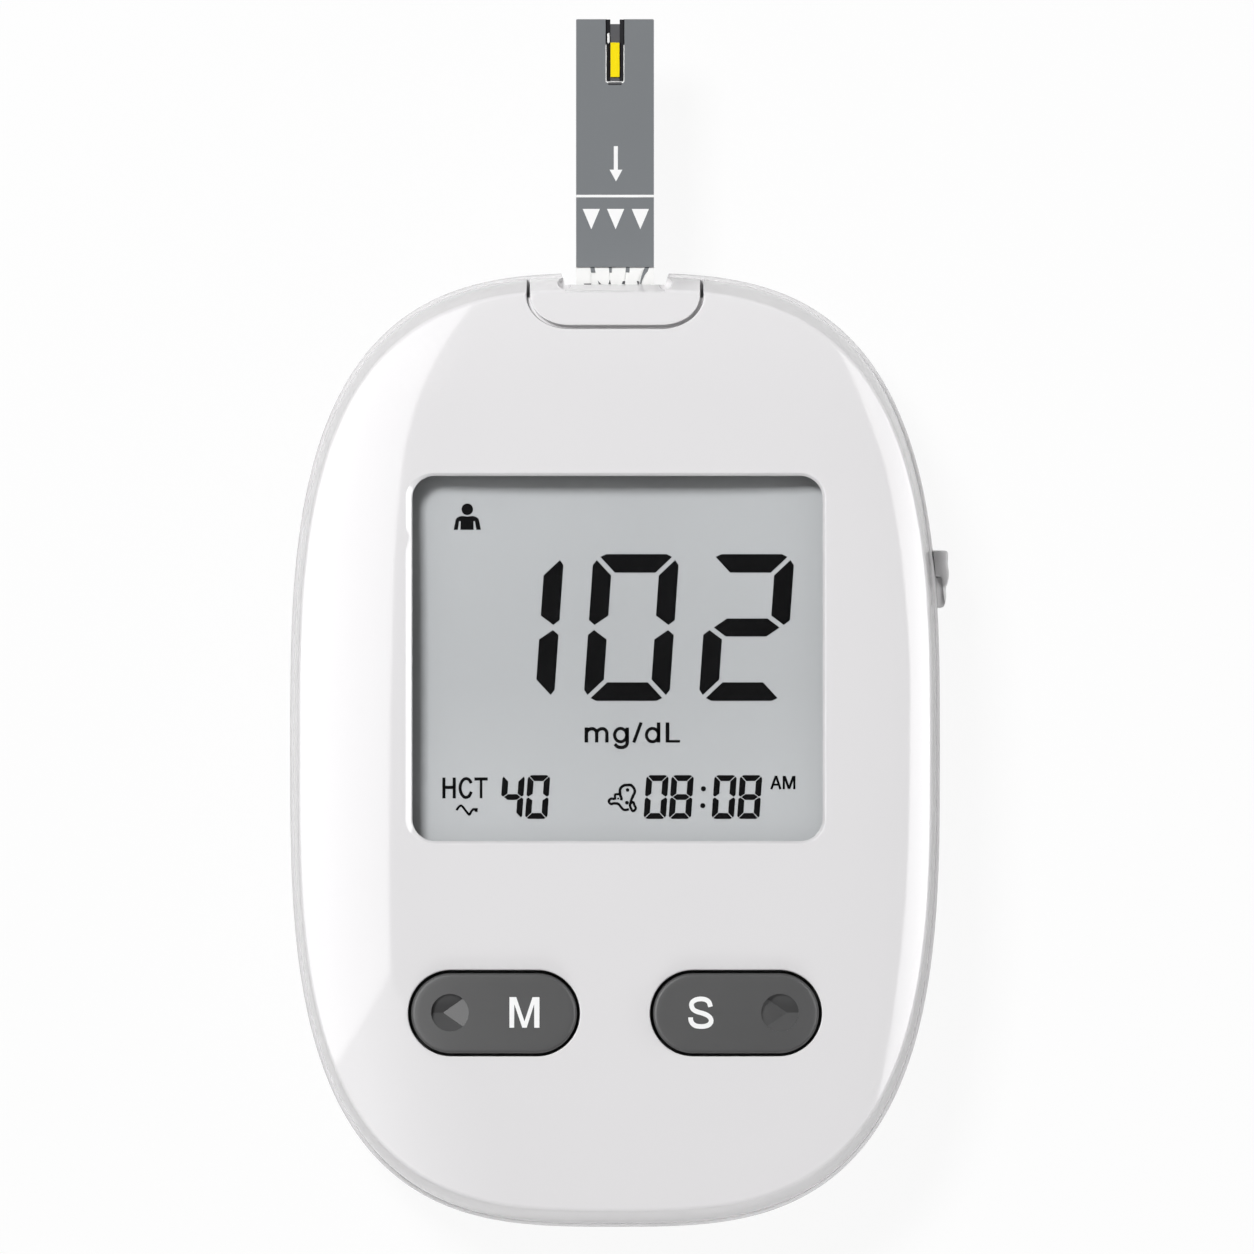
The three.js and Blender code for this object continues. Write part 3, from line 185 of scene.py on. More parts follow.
class Finish:
    """A material with one Principled shader. Constants go on the shader's own sockets."""

    def __init__(self, name, **constants):
        self.material = bpy.data.materials.new(name)
        self.material.use_nodes = True
        self.tree = self.material.node_tree
        self.shader = self.tree.nodes["Principled BSDF"]
        self.where = self.node("ShaderNodeTexCoord", out="Object")
        self.set(**constants)

    def set(self, **values):
        for key, value in values.items():
            plug(self.tree, self.shader.inputs[key.replace("_", " ").title().replace("Ior", "IOR")], value)
        return self

    def node(self, kind, settings=None, sockets=None, out=0):
        """Any other node: its type, its settings, its sockets' values or wires, and the output that is wanted."""
        node = self.tree.nodes.new(kind)
        for key, value in (settings or {}).items():
            setattr(node, key, value)
        for key, value in (sockets or {}).items():
            plug(self.tree, node.inputs[key], value)
        return Wire(self.tree, node.outputs[out])

    def noise(self, size_mm, detail=3):
        """Clouds whose features are about this size."""
        sockets = {"Vector": self.where, "Scale": 1 / (size_mm * MM), "Detail": detail}
        return self.node("ShaderNodeTexNoise", None, sockets)

    def blend(self, mask, one, other):
        """A colour between two, by a mask."""
        settings = {"data_type": "RGBA"}
        return self.node("ShaderNodeMix", settings, {0: mask, 6: one, 7: other}, out=2)

    def axis(self, wire, axis):
        """One part of a place or of a direction."""
        return self.node("ShaderNodeSeparateXYZ", None, {0: wire}, out=axis)

    def span(self, wire, first, last):
        """Grows from 0 to 1 while the wire goes from the first value to the last."""
        return self.node("ShaderNodeMapRange", None, {"Value": wire, "From Min": first, "From Max": last})

    def clouds(self, colour, darkening, size_mm=9, detail=2):
        """The colour in soft clouds, whose darkest parts are darker by this share."""
        darker = tuple(c * (1 - darkening) for c in colour)
        return self.blend(self.noise(size_mm, detail), darker, colour)

    def bump(self, height, depth_mm):
        sockets = {"Height": height, "Distance": depth_mm * MM, "Strength": 1.0}
        self.set(normal=self.node("ShaderNodeBump", None, sockets))
        return self


print("shader helpers ready")

# %% [markdown]
# ## Finishes
# Moulded gloss plastic has a very smooth skin with a faint waviness, and a satin key has a fine grain. Each finish
# starts from the colour that the photograph shows and adds that detail with noise. The covers' upright sides are
# painted a tone greyer than their faces, a painted shade that the covers' finish places by which way the surface
# points. The keys' dimples are smoother than the rest of the key, and painted a little darker as painted shade in
# the hollow, so the keys' finish reads where on the key it is.

# %% Moulded plastics


def plastic(name, colour, roughness, spread=0.02, grain_mm=0.3, grain_depth_mm=0.0004, mottle=0.03, **constants):
    """Moulded plastic: a little uneven in colour and gloss, with a fine grain."""
    finish = Finish(name, **constants)
    finish.set(base_color=finish.clouds(colour, mottle))
    finish.set(roughness=roughness + spread * (finish.noise(1.5) - 0.5))
    finish.bump(finish.noise(grain_mm, 2), grain_depth_mm)
    return finish.material


print("plain plastic ready")

# %% Plastics that differ from place to place
DIMPLE_X, DIMPLE_Y, DIMPLE_RADIUS = 14.82, -23.56, 1.69
print("dimples in mm", DIMPLE_X, DIMPLE_Y, "radius", DIMPLE_RADIUS)


def key_finish():
    """Satin plastic. The round dimples, one on each side of the middle, are smoother, and darker as painted shade.
    """
    finish = Finish("grey_key")
    x, y = finish.axis(finish.where, "X"), finish.axis(finish.where, "Y")
    across, up = x.maths("ABSOLUTE", x) - DIMPLE_X * MM, y - DIMPLE_Y * MM
    dimple_polish_and_painted_shade = x.maths("LESS_THAN", across * across + up * up, (DIMPLE_RADIUS * MM) ** 2)
    clouds = finish.blend(finish.noise(9, 2), (0.069, 0.069, 0.070), (0.071, 0.071, 0.072))
    # The dimples' darker grey is painted shade in the hollow.
    finish.set(base_color=finish.blend(dimple_polish_and_painted_shade, clouds, (0.054, 0.054, 0.055)))
    finish.set(roughness=0.38 + 0.08 * finish.noise(1.5) - 0.1 * dimple_polish_and_painted_shade)
    return finish.bump(finish.noise(0.12, 2), 0.006).material


WHITE_FACE, WHITE_SIDE_PAINTED_SHADE, WHITE_MOTTLE = (0.762, 0.752, 0.762), (0.625, 0.617, 0.625), 0.012
GLOSS, WAVE_MM, WAVE_DEPTH_MM = 0.06, 2.5, 0.0015


def cover_finish_with_painted_side_shade():
    """The covers' gloss plastic. Their upright sides are painted a tone greyer than their faces, as painted shade.
    """
    finish = Finish("white_cover_painted_side_shade")
    # Painted shade: the colour turns greyer where the surface turns upright.
    facing = finish.axis(finish.node("ShaderNodeTexCoord", out="Normal"), "Z")
    level = finish.span(facing.maths("ABSOLUTE", facing), 0.25, 0.75)
    finish.set(base_color=finish.blend(level, WHITE_SIDE_PAINTED_SHADE, finish.clouds(WHITE_FACE, WHITE_MOTTLE)))
    finish.set(roughness=GLOSS + 0.02 * (finish.noise(1.5) - 0.5))
    return finish.bump(finish.noise(WAVE_MM, 2), WAVE_DEPTH_MM).material


# %% The meter's plastics
white_cover_painted_side_shade = cover_finish_with_painted_side_shade()
white_shell = plastic("white_shell", WHITE_FACE, GLOSS, 0.02, WAVE_MM, WAVE_DEPTH_MM, WHITE_MOTTLE)
grey_key = key_finish()
slider_grey = plastic("slider_grey", (0.62, 0.615, 0.62), 0.38, spread=0.08, grain_mm=0.12, grain_depth_mm=0.004)
black_plastic = plastic("black_plastic", (0.022, 0.022, 0.024), 0.5, grain_mm=0.15, grain_depth_mm=0.005)
grey_rubber = plastic("grey_rubber", (0.16, 0.16, 0.17), 0.7, grain_mm=0.2, grain_depth_mm=0.006)
chip_resin = plastic("chip_resin", (0.02, 0.02, 0.022), 0.55, grain_mm=0.08, grain_depth_mm=0.004, mottle=0.2)
# This white is also the painted highlight on the slider's step.
white_ink_and_painted_highlight = plastic("white_ink_and_painted_highlight", (0.9, 0.9, 0.9), 0.5, grain_mm=0.1, grain_depth_mm=0.002)
segment_ink = plastic("segment_ink", (0.004, 0.004, 0.0045), 0.6, grain_mm=0.4, grain_depth_mm=0.0005, mottle=0.3)
segment_ink.node_tree.nodes["Principled BSDF"].inputs["Specular IOR Level"].default_value = 0.05
print("plastics ready")

# %% [markdown]
# ## Glass, metal, board and film
# The clear window only tints a little and mirrors, so it is nearly see-through. The display behind it is a pale
# grey, painted lighter to the right and towards the keys: painted light that offsets the shade of the window's rim
# there. Drawn metal has fine lines along one way, a board has its tracks, and printed film is mottled at the scale
# of its paper.

# %% Glass, metal, board and film


def lens_finish():
    """The clear window and the display's front plate."""
    finish = Finish("clear_lens", base_color=(0.012, 0.012, 0.013), alpha=0.02)
    finish.set(roughness=0.03 + 0.02 * finish.noise(3))
    finish.bump(finish.noise(6, 1), 0.0005)
    return finish.material


def display_finish():
    """The grey of the display, painted lighter to the right and towards the keys against the rim's shade there."""
    finish = Finish("display_glass")
    clouds = finish.blend(finish.noise(14, 2), (0.556, 0.575, 0.590), (0.572, 0.591, 0.606))
    # Painted light: lighter towards the right and the keys, where the window's rim shades the display.
    painted_light_rightward = finish.span(finish.axis(finish.where, "X"), 0, 19 * MM)
    painted_light_downward = finish.span(finish.axis(finish.where, "Y"), 6 * MM, -9 * MM)
    finish.set(base_color=finish.blend(0.5 * painted_light_rightward + painted_light_downward, clouds, (0.632, 0.652, 0.667)))
    finish.set(roughness=0.45 + 0.05 * finish.noise(0.5))
    finish.bump(finish.noise(0.15, 2), 0.0006)
    return finish.material


def metal_finish(name, colour, roughness):
    """Drawn sheet metal, with fine lines along Y."""
    finish = Finish(name, metallic=1.0)
    along = finish.node("ShaderNodeMapping", None, {"Vector": finish.where, "Scale": (1.0, 0.1, 1.0)})
    lines = finish.node("ShaderNodeTexNoise", None, {"Vector": along, "Scale": 1 / (0.4 * MM), "Detail": 2.0})
    finish.set(base_color=finish.blend(lines, tuple(c * 0.85 for c in colour), colour))
    finish.set(roughness=roughness + 0.15 * (lines - 0.5))
    finish.bump(lines, 0.003)
    return finish.material


def board_finish():
    """A green circuit board, whose tracks show through its varnish."""
    finish = Finish("board_laminate")
    brick = {"Vector": finish.where, "Scale": 1 / (4 * MM), "Mortar Size": 0.03, "Bias": 0.0}
    brick.update({"Color1": (1, 1, 1), "Color2": (1, 1, 1), "Mortar": (0, 0, 0)})
    tracks = finish.node("ShaderNodeTexBrick", {"offset": 0.5}, brick, out="Fac")
    clouds = finish.noise(5)
    green = finish.blend(clouds, (0.012, 0.085, 0.035), (0.02, 0.12, 0.05))
    finish.set(base_color=finish.blend(tracks, green, (0.05, 0.22, 0.10)))
    finish.set(roughness=0.35 + 0.1 * clouds)
    finish.bump(tracks, 0.02)
    return finish.material


def film_finish(name, colour, roughness, mottle):
    """Printed or coated film: a fine grain on soft clouds."""
    finish = Finish(name)
    grain = finish.noise(0.12, 4)
    clouds = finish.noise(4, 2)
    darker = tuple(c * (1 - mottle) for c in colour)
    finish.set(base_color=finish.blend(grain * 0.5 + clouds * 0.5, darker, colour))
    finish.set(roughness=roughness + 0.08 * (grain - 0.5))
    finish.set(specular_ior_level=0.1)
    finish.bump(grain, 0.002)
    return finish.material


clear_lens = lens_finish()
display_glass = display_finish()
steel = metal_finish("steel", (0.52, 0.52, 0.53), 0.32)
gilt_contact = metal_finish("gilt_contact", (0.75, 0.52, 0.2), 0.28)
board_laminate = board_finish()
strip_white = film_finish("strip_white", (0.86, 0.86, 0.85), 0.5, 0.04)
strip_grey = film_finish("strip_grey", (0.194, 0.205, 0.215), 0.5, 0.05)
strip_dark = film_finish("strip_dark", (0.010, 0.010, 0.012), 0.55, 0.1)
strip_mid = film_finish("strip_mid", (0.105, 0.105, 0.112), 0.5, 0.08)
reagent_yellow = film_finish("reagent_yellow", (0.93, 0.74, 0.002), 0.6, 0.06)
print("materials", len(bpy.data.materials))

# %% [markdown]
# ## Solids and cuts
# Shapes are made in millimetres as closed solids, joined and cut with Boolean modifiers, and then brought to
# metres. Faces are shaded smooth where they meet at a shallow angle.

# %% Solids, Booleans and named pieces
SCENE = bpy.context.scene


def solid(points, faces):
    """A closed solid in millimetres, held by an object."""
    mesh = bpy.data.meshes.new("solid")
    mesh.from_pydata(points, [], faces)
    mesh.validate()
    holder = bpy.data.objects.new("solid", mesh)
    SCENE.collection.objects.link(holder)
    return holder


def combine(base, *tools, how="DIFFERENCE"):
    """The base with the tools cut off, joined on or kept in common."""
    for tool in tools:
        modifier = base.modifiers.new("combine", "BOOLEAN")
        modifier.operation = how
        modifier.solver = "MANIFOLD"
        modifier.object = tool
        bpy.context.view_layer.update()
        graph = bpy.context.evaluated_depsgraph_get()
        mesh = bpy.data.meshes.new_from_object(base.evaluated_get(graph))
        base.modifiers.clear()
        base.data = mesh
        bpy.data.objects.remove(tool)
    return base


def join(base, *tools):
    return combine(base, *tools, how="UNION")


def piece(holder, name, body, finish, slot, *nodes, sharp=32):
    """Brings a solid to metres and makes it a named piece of the object."""
    mesh = holder.data
    mesh.transform(Matrix.Scale(MM, 4))
    mesh.shade_smooth()
    mesh.set_sharp_from_angle(angle=math.radians(sharp))
    mesh.name = name
    holder.name = name
    mesh.materials.clear()
    mesh.materials.append(finish)
    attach(holder, body)
    if nodes:
        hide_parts(*nodes)
    print(name, len(mesh.vertices), "vertices")
    return holder


print("joins, cuts and pieces ready")

# %% Skins, prisms and plans


def skin(rows):
    """A closed solid through rows of as many points each. The end rows are closed flat."""
    count = len(rows[0])
    points = [point for row in rows for point in row]
    faces = []
    for level in range(len(rows) - 1):
        low, high = level * count, (level + 1) * count
        for i in range(count):
            j = (i + 1) % count
            faces.append((low + i, low + j, high + j, high + i))
    faces.append(tuple(reversed(range(count))))
    faces.append(tuple(range((len(rows) - 1) * count, len(rows) * count)))
    return solid(points, faces)


def prism(plan, low, high):
    return skin([[(x, y, low) for x, y in plan], [(x, y, high) for x, y in plan]])


def box(low_x, high_x, low_y, high_y, low_z, high_z):
    return prism([(low_x, low_y), (high_x, low_y), (high_x, high_y), (low_x, high_y)], low_z, high_z)


def circle(radius, x, y, steps=64):
    turns = [2 * math.pi * i / steps for i in range(steps)]
    return [(x + radius * math.cos(t), y + radius * math.sin(t)) for t in turns]


def rounded(width, length, radius, x=0, y=0, arc=12, side=1, radius_y=None):
    """A rectangle with round corners, whose sides may be divided."""
    tall = radius if radius_y is None else radius_y
    corners = []
    for quarter, (sx, sy) in enumerate([(1, 1), (-1, 1), (-1, -1), (1, -1)]):
        middle = (x + sx * (width / 2 - radius), y + sy * (length / 2 - tall))
        turns = [math.pi / 2 * (quarter + i / arc) for i in range(arc + 1)]
        corners.append([(middle[0] + radius * math.cos(t), middle[1] + tall * math.sin(t)) for t in turns])
    plan = []
    for i, corner in enumerate(corners):
        plan += corner
        (ax, ay), (bx, by) = corner[-1], corners[(i + 1) % 4][0]
        for k in range(1, side):
            plan.append((ax + (bx - ax) * k / side, ay + (by - ay) * k / side))
    return plan


print("solid helpers ready")

# %% [markdown]
# ## The housing's form
# The outline is a fat ellipse with a power above two. The front half leans in a little up its band, turns at a
# crease and then rises over a crowned face, which is nearly flat in the middle and falls away towards the crease.

# %% Sizes of the housing
BODY_HALF_WIDTH = 29.3
BODY_HALF_LENGTH = 43
BODY_HEIGHT = 19
PARTING = 9.5
WALL = 1.8
OUTLINE_POWER = math.log(2) / -math.log(0.8)
BAND_POWER = math.log(0.29) / -math.log(2)
FACE_POWER = math.log(0.044) / -math.log(2)
FACE_RISE = 3.04
CREASE = BODY_HEIGHT - FACE_RISE
FRONT_HALF_WIDTH = BODY_HALF_WIDTH - 0.3
FRONT_HALF_LENGTH = BODY_HALF_LENGTH - 0.3
LEAN_ACROSS, LEAN_ALONG = 0.5, 1.3
CREASE_HALF_WIDTH = FRONT_HALF_WIDTH - LEAN_ACROSS
CREASE_HALF_LENGTH = FRONT_HALF_LENGTH - LEAN_ALONG
CREASE_ROUND, FOOT_ROUND = 0.35, 0.12
OUTLINE_STEPS = 320
ABOVE, BELOW = BODY_HEIGHT + 2, -2
print("crease at", round(CREASE, 2), "mm")
print("powers", round(OUTLINE_POWER, 2), round(BAND_POWER, 2), round(FACE_POWER, 2))

# %% Solids of rings


def spread_outline(rings, steps=OUTLINE_STEPS):
    """A closed solid through rings of half width, half length and height, from one pole to the other."""
    around = []
    for i in range(steps):
        t = 2 * math.pi * i / steps
        c, s = math.cos(t), math.sin(t)
        power = 2 / OUTLINE_POWER
        around.append((math.copysign(abs(c) ** power, c), math.copysign(abs(s) ** power, s)))
    inner = rings[1:-1]
    points = [(0, 0, rings[0][2])]
    for half_width, half_length, height in inner:
        points += [(half_width * a, half_length * b, height) for a, b in around]
    points.append((0, 0, rings[-1][2]))
    faces = []
    for i in range(steps):
        j = (i + 1) % steps
        faces.append((0, 1 + j, 1 + i))
        for level in range(len(inner) - 1):
            low, high = 1 + level * steps, 1 + (level + 1) * steps
            faces.append((low + i, low + j, high + j, high + i))
        last = 1 + (len(inner) - 1) * steps
        faces.append((last + i, last + j, len(points) - 1))
    return solid(points, faces)


def soften(rings, index, reach, steps=5):
    """Rounds a corner of a profile, over this reach to both sides."""
    corner = Vector(rings[index])

    def walk(step):
        i = index
        while (Vector(rings[i]) - corner).length < reach:
            i += step
        near, far = Vector(rings[i - step]), Vector(rings[i])
        spare = (far - corner).length - reach
        return i, far + (near - far) * (spare / (far - near).length)

    before, start = walk(-1)
    after, end = walk(1)
    curve = []
    for k in range(steps + 1):
        t = k / steps
        curve.append(tuple(start * (1 - t) ** 2 + corner * 2 * t * (1 - t) + end * t**2))
    return rings[: before + 1] + curve + rings[after:]


print("rings of", OUTLINE_STEPS, "points")

# %% The front's profile


def face_rings(depth, count):
    """The face from its crease in to the pole, at a depth under the outside."""
    rings = []
    for i in range(count + 1):
        share = 1 - (i / count) ** 1.5
        height = BODY_HEIGHT - depth - FACE_RISE * share**FACE_POWER
        rings.append((share * (CREASE_HALF_WIDTH - depth), share * (CREASE_HALF_LENGTH - depth), height))
    return rings


def face_height(x, y):
    """How high the crowned face is over a place in plan."""
    across, along = abs(x / CREASE_HALF_WIDTH), abs(y / CREASE_HALF_LENGTH)
    share = (across**OUTLINE_POWER + along**OUTLINE_POWER) ** (1 / OUTLINE_POWER)
    return BODY_HEIGHT - FACE_RISE * share**FACE_POWER


def band_rings(count):
    """The band that leans in from the parting edge up to the crease."""
    rings = []
    for i in range(count):
        share = i / count
        lean = share**BAND_POWER
        height = PARTING + share * (CREASE - PARTING)
        rings.append((FRONT_HALF_WIDTH - LEAN_ACROSS * lean, FRONT_HALF_LENGTH - LEAN_ALONG * lean, height))
    return rings


def front_outside():
    """The front's outside, from its parting edge to the middle of its face."""
    band = band_rings(24)
    outside = soften(band + face_rings(0, 56), len(band), CREASE_ROUND, 6)
    foot = (FRONT_HALF_WIDTH - FOOT_ROUND, FRONT_HALF_LENGTH - FOOT_ROUND, PARTING)
    outside[0] = (FRONT_HALF_WIDTH, FRONT_HALF_LENGTH, PARTING + FOOT_ROUND)
    return [foot] + outside


def front_block():
    """The whole front half as one solid."""
    return spread_outline([(0, 0, PARTING)] + front_outside())


KEY_X, KEY_Y, KEY_LENGTH, KEY_WIDTH, KEY_GAP = 10.87, -23.61, 14.9, 7.2, 0.27
print("face height over the keys", round(face_height(KEY_X, KEY_Y), 2))

# %% [markdown]
# ## Holes with rounded rims
# A sharp edge catches no light. The cutter of each hole therefore flares at its top in a quarter round that
# follows the crowned face, so the cut leaves a rounded rim. A plug that is kept in common with the block draws in
# at its top in the same way, and gets a rounded edge. The window's rim was measured in the photograph: a narrow
# steep round on three sides and a wide flat bevel on the left.

# %% The rim tool


def rim_tool(plan, low, rim, way, steps=5):
    """A tool whose top follows the face. Its plan, a function of growth, flares (way 1) or draws in (way -1)."""
    rows = [[(x, y, low) for x, y in plan(0)]]
    for k in range(steps + 1):
        turn = k / steps * math.pi / 2
        reach, drop = rim * (1 - math.cos(turn)), rim * (1 - math.sin(turn))
        rows.append([(x, y, face_height(x, y) - drop) for x, y in plan(way * reach)])
    rows.append([(x, y, ABOVE) for x, y in plan(way * rim)])
    return skin(rows)


print("rims follow the face, which is", round(face_height(0, 0), 2), "mm high in the middle")

# %% The window's cutter
HOLE_LOW = 13
WINDOW_WIDTH, WINDOW_LENGTH, WINDOW_RADIUS = 36.85, 32.8, 2.0
WINDOW_X, WINDOW_Y = 0.22, 8.26
PLAIN_RIM = [(0, 0.5), (0.02, 0.46), (0.04, 0.43), (0.05, 0.41), (0.22, 0.07), (0.26, 0.03), (0.34, 0)]
LEFT_RIM = [(0, 0.45), (0.03, 0.36), (0.1, 0.30), (0.13, 0.284), (0.59, 0.046), (0.62, 0.03), (0.70, 0)]


def window_cutter():
    """The window with a rounded rim. Its left side has a wide flat bevel in place of the round."""
    rows = [[(x, y, HOLE_LOW) for x, y in window_plan(0)]]
    corner_x = WINDOW_X - WINDOW_WIDTH / 2 + WINDOW_RADIUS
    for (grow, drop), (left_grow, left_drop) in zip(PLAIN_RIM, LEFT_RIM):
        row = []
        for x, y in window_plan(grow):
            left = min(max((corner_x - x) / WINDOW_RADIUS, 0), 1)
            row.append((x - left * (left_grow - grow), y, face_height(x, y) - drop - left * (left_drop - drop)))
        rows.append(row)
    rows.append([(x, y, ABOVE) for x, y, _ in rows[-1]])
    return skin(rows)


def window_plan(grow):
    """The window in plan. Its sides are divided, so that the rim can follow the crowned face."""
    width, length = WINDOW_WIDTH + 2 * grow, WINDOW_LENGTH + 2 * grow
    return rounded(width, length, WINDOW_RADIUS + grow, WINDOW_X, WINDOW_Y, 16, 24)


print("window", WINDOW_WIDTH, WINDOW_LENGTH)

# %% Plans of the keys and the cap


def key_plan(x, grow):
    """A key in plan: an oblong with half circles at its ends."""
    width = KEY_WIDTH + 2 * grow
    return rounded(KEY_LENGTH + 2 * grow, width, width / 2 - 0.001, x, KEY_Y, 24, 12)


CAP_HALF_WIDTH, CAP_DEPTH, CAP_CORNER, CAP_CORNER_UP, SEAM_GAP = 7.65, 4.8, 3.5, 2.7, 0.3


def cap_plan(grow):
    """The port cap's plan, which runs out past the end of the body."""
    low = BODY_HALF_LENGTH - CAP_DEPTH - grow
    high = BODY_HALF_LENGTH + 8
    side = CAP_HALF_WIDTH + grow
    across, up = CAP_CORNER + grow, CAP_CORNER_UP + grow
    middle_x, middle_y = side - across, low + up
    turns = [math.pi * (1 + 0.5 * i / 24) for i in range(25)]
    left_corner = [(-middle_x + across * math.cos(t), middle_y + up * math.sin(t)) for t in turns]
    right_corner = [(-x, y) for x, y in reversed(left_corner)]
    start, end = left_corner[-1][0], right_corner[0][0]
    foot = [(start * (1 - k / 8) + end * k / 8, low) for k in range(1, 8)]
    left = [(-side, middle_y + (high - middle_y) * k / 12) for k in range(12, 0, -1)]
    right = [(side, y) for _, y in reversed(left)]
    return left_corner + foot + right_corner + right + left


print("cap plan", len(cap_plan(0)), "points")

# %% [markdown]
# ## Front cover
# The real cover is one gloss moulding. Here it is a crowned shell, 1.8 mm thick, from which the window, the key
# openings and the port cap's place are cut, with the pockets that hold the lens and the display inside.

# %% Front cover
REBATE, REBATE_TOP = 0.9, 10.8
LENS_SEAT, FRAME_SEAT = 17.385, 16.385
KEY_HOLE_RIM, SEAM_RIM = 0.15, 0.18
inside = face_rings(WALL, 24)
rebate = [(REBATE, PARTING), (REBATE, REBATE_TOP), (WALL, REBATE_TOP)]
rebate = [(FRONT_HALF_WIDTH - inset, FRONT_HALF_LENGTH - inset, height) for inset, height in rebate]
cover = spread_outline(inside[::-1] + rebate[::-1] + front_outside())
lens_pocket = prism(rounded(40.0, 36.08, 3.5, 0, 8.21), 14.4, LENS_SEAT)
frame_pocket = prism(rounded(42.4, 41.28, 3.3, 0, 6.81), 8, FRAME_SEAT)
cover = combine(cover, lens_pocket, frame_pocket, window_cutter())
for side in (-1, 1):
    key_hole = rim_tool(lambda grow, x=side * KEY_X: key_plan(x, KEY_GAP + grow), HOLE_LOW, KEY_HOLE_RIM, 1)
    cover = combine(cover, key_hole)
cover = combine(cover, rim_tool(lambda grow: cap_plan(SEAM_GAP + grow), 7, SEAM_RIM, 1))
piece(cover, "front_cover_shell", "housing", white_cover_painted_side_shade, "white_shell", "front_cover")

# %% [markdown]
# ## Strip port cap
# The cap carries the housing's own form on to its end, so it is what a plug and the front half have in common. It
# has the slot for the strip, and a notch whose side walls flare and whose back leans up to the crease. A ledge under
# its edge is the floor of the seam round it. The ledge ends above the strip's slot.

# %% The notch and the cap
NOTCH_Y = BODY_HALF_LENGTH - 1.1
SLOT_BOTTOM, SLOT_TOP = 11.67, 12.92
NOTCH_BACK = [(BELOW, 0), (PARTING, 0), (SLOT_TOP, 0), (15.7, 0.63), (15.95, 0.7), (16.08, 0.82), (16.14, 0.9)]
NOTCH_BACK += [(ABOVE, 0.9)]
NOTCH_HALF_WIDTH = 4.46
NOTCH_SIDE = [(4.56, 42.05), (4.69, 42.5), (4.86, 43.0), (4.86, 48)]
SCOOP_MIDDLE, SCOOP_RADII = (4.55, 42.2, 13.9), (0.65, 0.95, 3)


def scoop(side):
    """An egg-shaped cutter for the hollow at one side of the notch."""
    (x, y, z), (radius_x, radius_y, radius_z) = SCOOP_MIDDLE, SCOOP_RADII
    rows = []
    for i in range(13):
        turn = math.radians(-85 + 170 * i / 12)
        share = math.cos(turn)
        level = z + radius_z * math.sin(turn)
        turns = circle(share, 0, 0, 32)
        rows.append([(side * x + px * radius_x, y + py * radius_y, level) for px, py in turns])
    return skin(rows)


def notch_cutter():
    """Upright below the strip, leaning back to the crease above it. It widens towards its mouth."""
    rows = []
    for height, lean in NOTCH_BACK:
        right = [(NOTCH_HALF_WIDTH, NOTCH_Y - lean)] + NOTCH_SIDE
        plan = right + [(-x, y) for x, y in reversed(right)]
        rows.append([(x, y, height) for x, y in plan])
    return skin(rows)


def lowered_block(depth):
    """The front half as one solid, this far under its own face."""
    block = front_block()
    block.data.transform(Matrix.Translation((0, 0, -depth)))
    return block


CAP_RIM, SEAM_DEPTH = 0.12, 0.8
cap = combine(rim_tool(cap_plan, PARTING, CAP_RIM, -1), front_block(), how="INTERSECT")
flange = box(-8.85, 8.85, 37.0, 38.9, PARTING, 13.79)
cap = join(cap, flange)
strip_slot = box(-3.8, 3.8, 35, 45, SLOT_BOTTOM, SLOT_TOP)
cap = combine(cap, notch_cutter(), scoop(-1), scoop(1), strip_slot)
seam_floor = prism(cap_plan(SEAM_GAP - 0.03), 14.5, 18.6)
seam_floor = combine(seam_floor, lowered_block(SEAM_DEPTH), box(-12, 12, 30, 40.7, 14, 20), how="INTERSECT")
cap = join(cap, seam_floor)
piece(cap, "port_cap", "housing", white_shell, "white_shell", "strip_port_cap")

# %% [markdown]
# ## Back cover
# The lower half shows as a thin lip round the front. Its lower edge is a wide quarter round. Underneath it has
# the battery bay, the sunk screw places and a notch for a fingernail. Everything that adds material is joined on
# first, and everything that takes it away is cut afterwards, so that no hole is filled again.

# %% Back shell and its posts
EDGE = 5.51
LIP_EDGE = [(0, 8.85), (0.04, 9.1), (0.12, 9.3), (0.27, PARTING)]
LAP = [(1.5, PARTING), (1.5, 10.5), (2.3, 10.5), (2.3, 8.5), (1.8, 8.0)]
CELL_Y, BAY_TOP, FLOOR_INSIDE = -16.985, 8.4, 0.9
SCREWS = [(sx * 17.492, y) for sx in (-1, 1) for y in (30.788, -32.207)]
POST_RADIUS, POST_TOP, HEAD_RADIUS, HEAD_TOP, THREAD_RADIUS, THREAD_TOP = 3.5, 9.12, 2.5, 3, 1.4, 11.1
CELL_RADIUS, CELL_WALL_RADIUS = 10.3, 11.5
HOOK_X, HOOK_HALF = 7, 2.3


def back_rings(depth, count):
    """The wide round at the lower edge, at a depth under the outside."""
    rings = []
    for i in range(count + 1):
        turn = i / count * math.pi / 2
        inset = EDGE - (EDGE - depth) * math.sin(turn)
        rings.append((BODY_HALF_WIDTH - inset, BODY_HALF_LENGTH - inset, EDGE - (EDGE - depth) * math.cos(turn)))
    return rings


lip = [(BODY_HALF_WIDTH - inset, BODY_HALF_LENGTH - inset, height) for inset, height in LIP_EDGE + LAP]
back = spread_outline([(0, 0, 0)] + back_rings(0, 14) + lip + back_rings(WALL, 8)[::-1] + [(0, 0, WALL)])
back = join(back, *[prism(circle(POST_RADIUS, x, y), FLOOR_INSIDE, POST_TOP) for x, y in SCREWS])
door_seat = prism(rounded(29, 31, 4.5, 0, CELL_Y), FLOOR_INSIDE, 2.6)
cell_wall = prism(circle(CELL_WALL_RADIUS, 0, CELL_Y, 96), 1.4, 6.4)
back = join(back, door_seat, cell_wall)

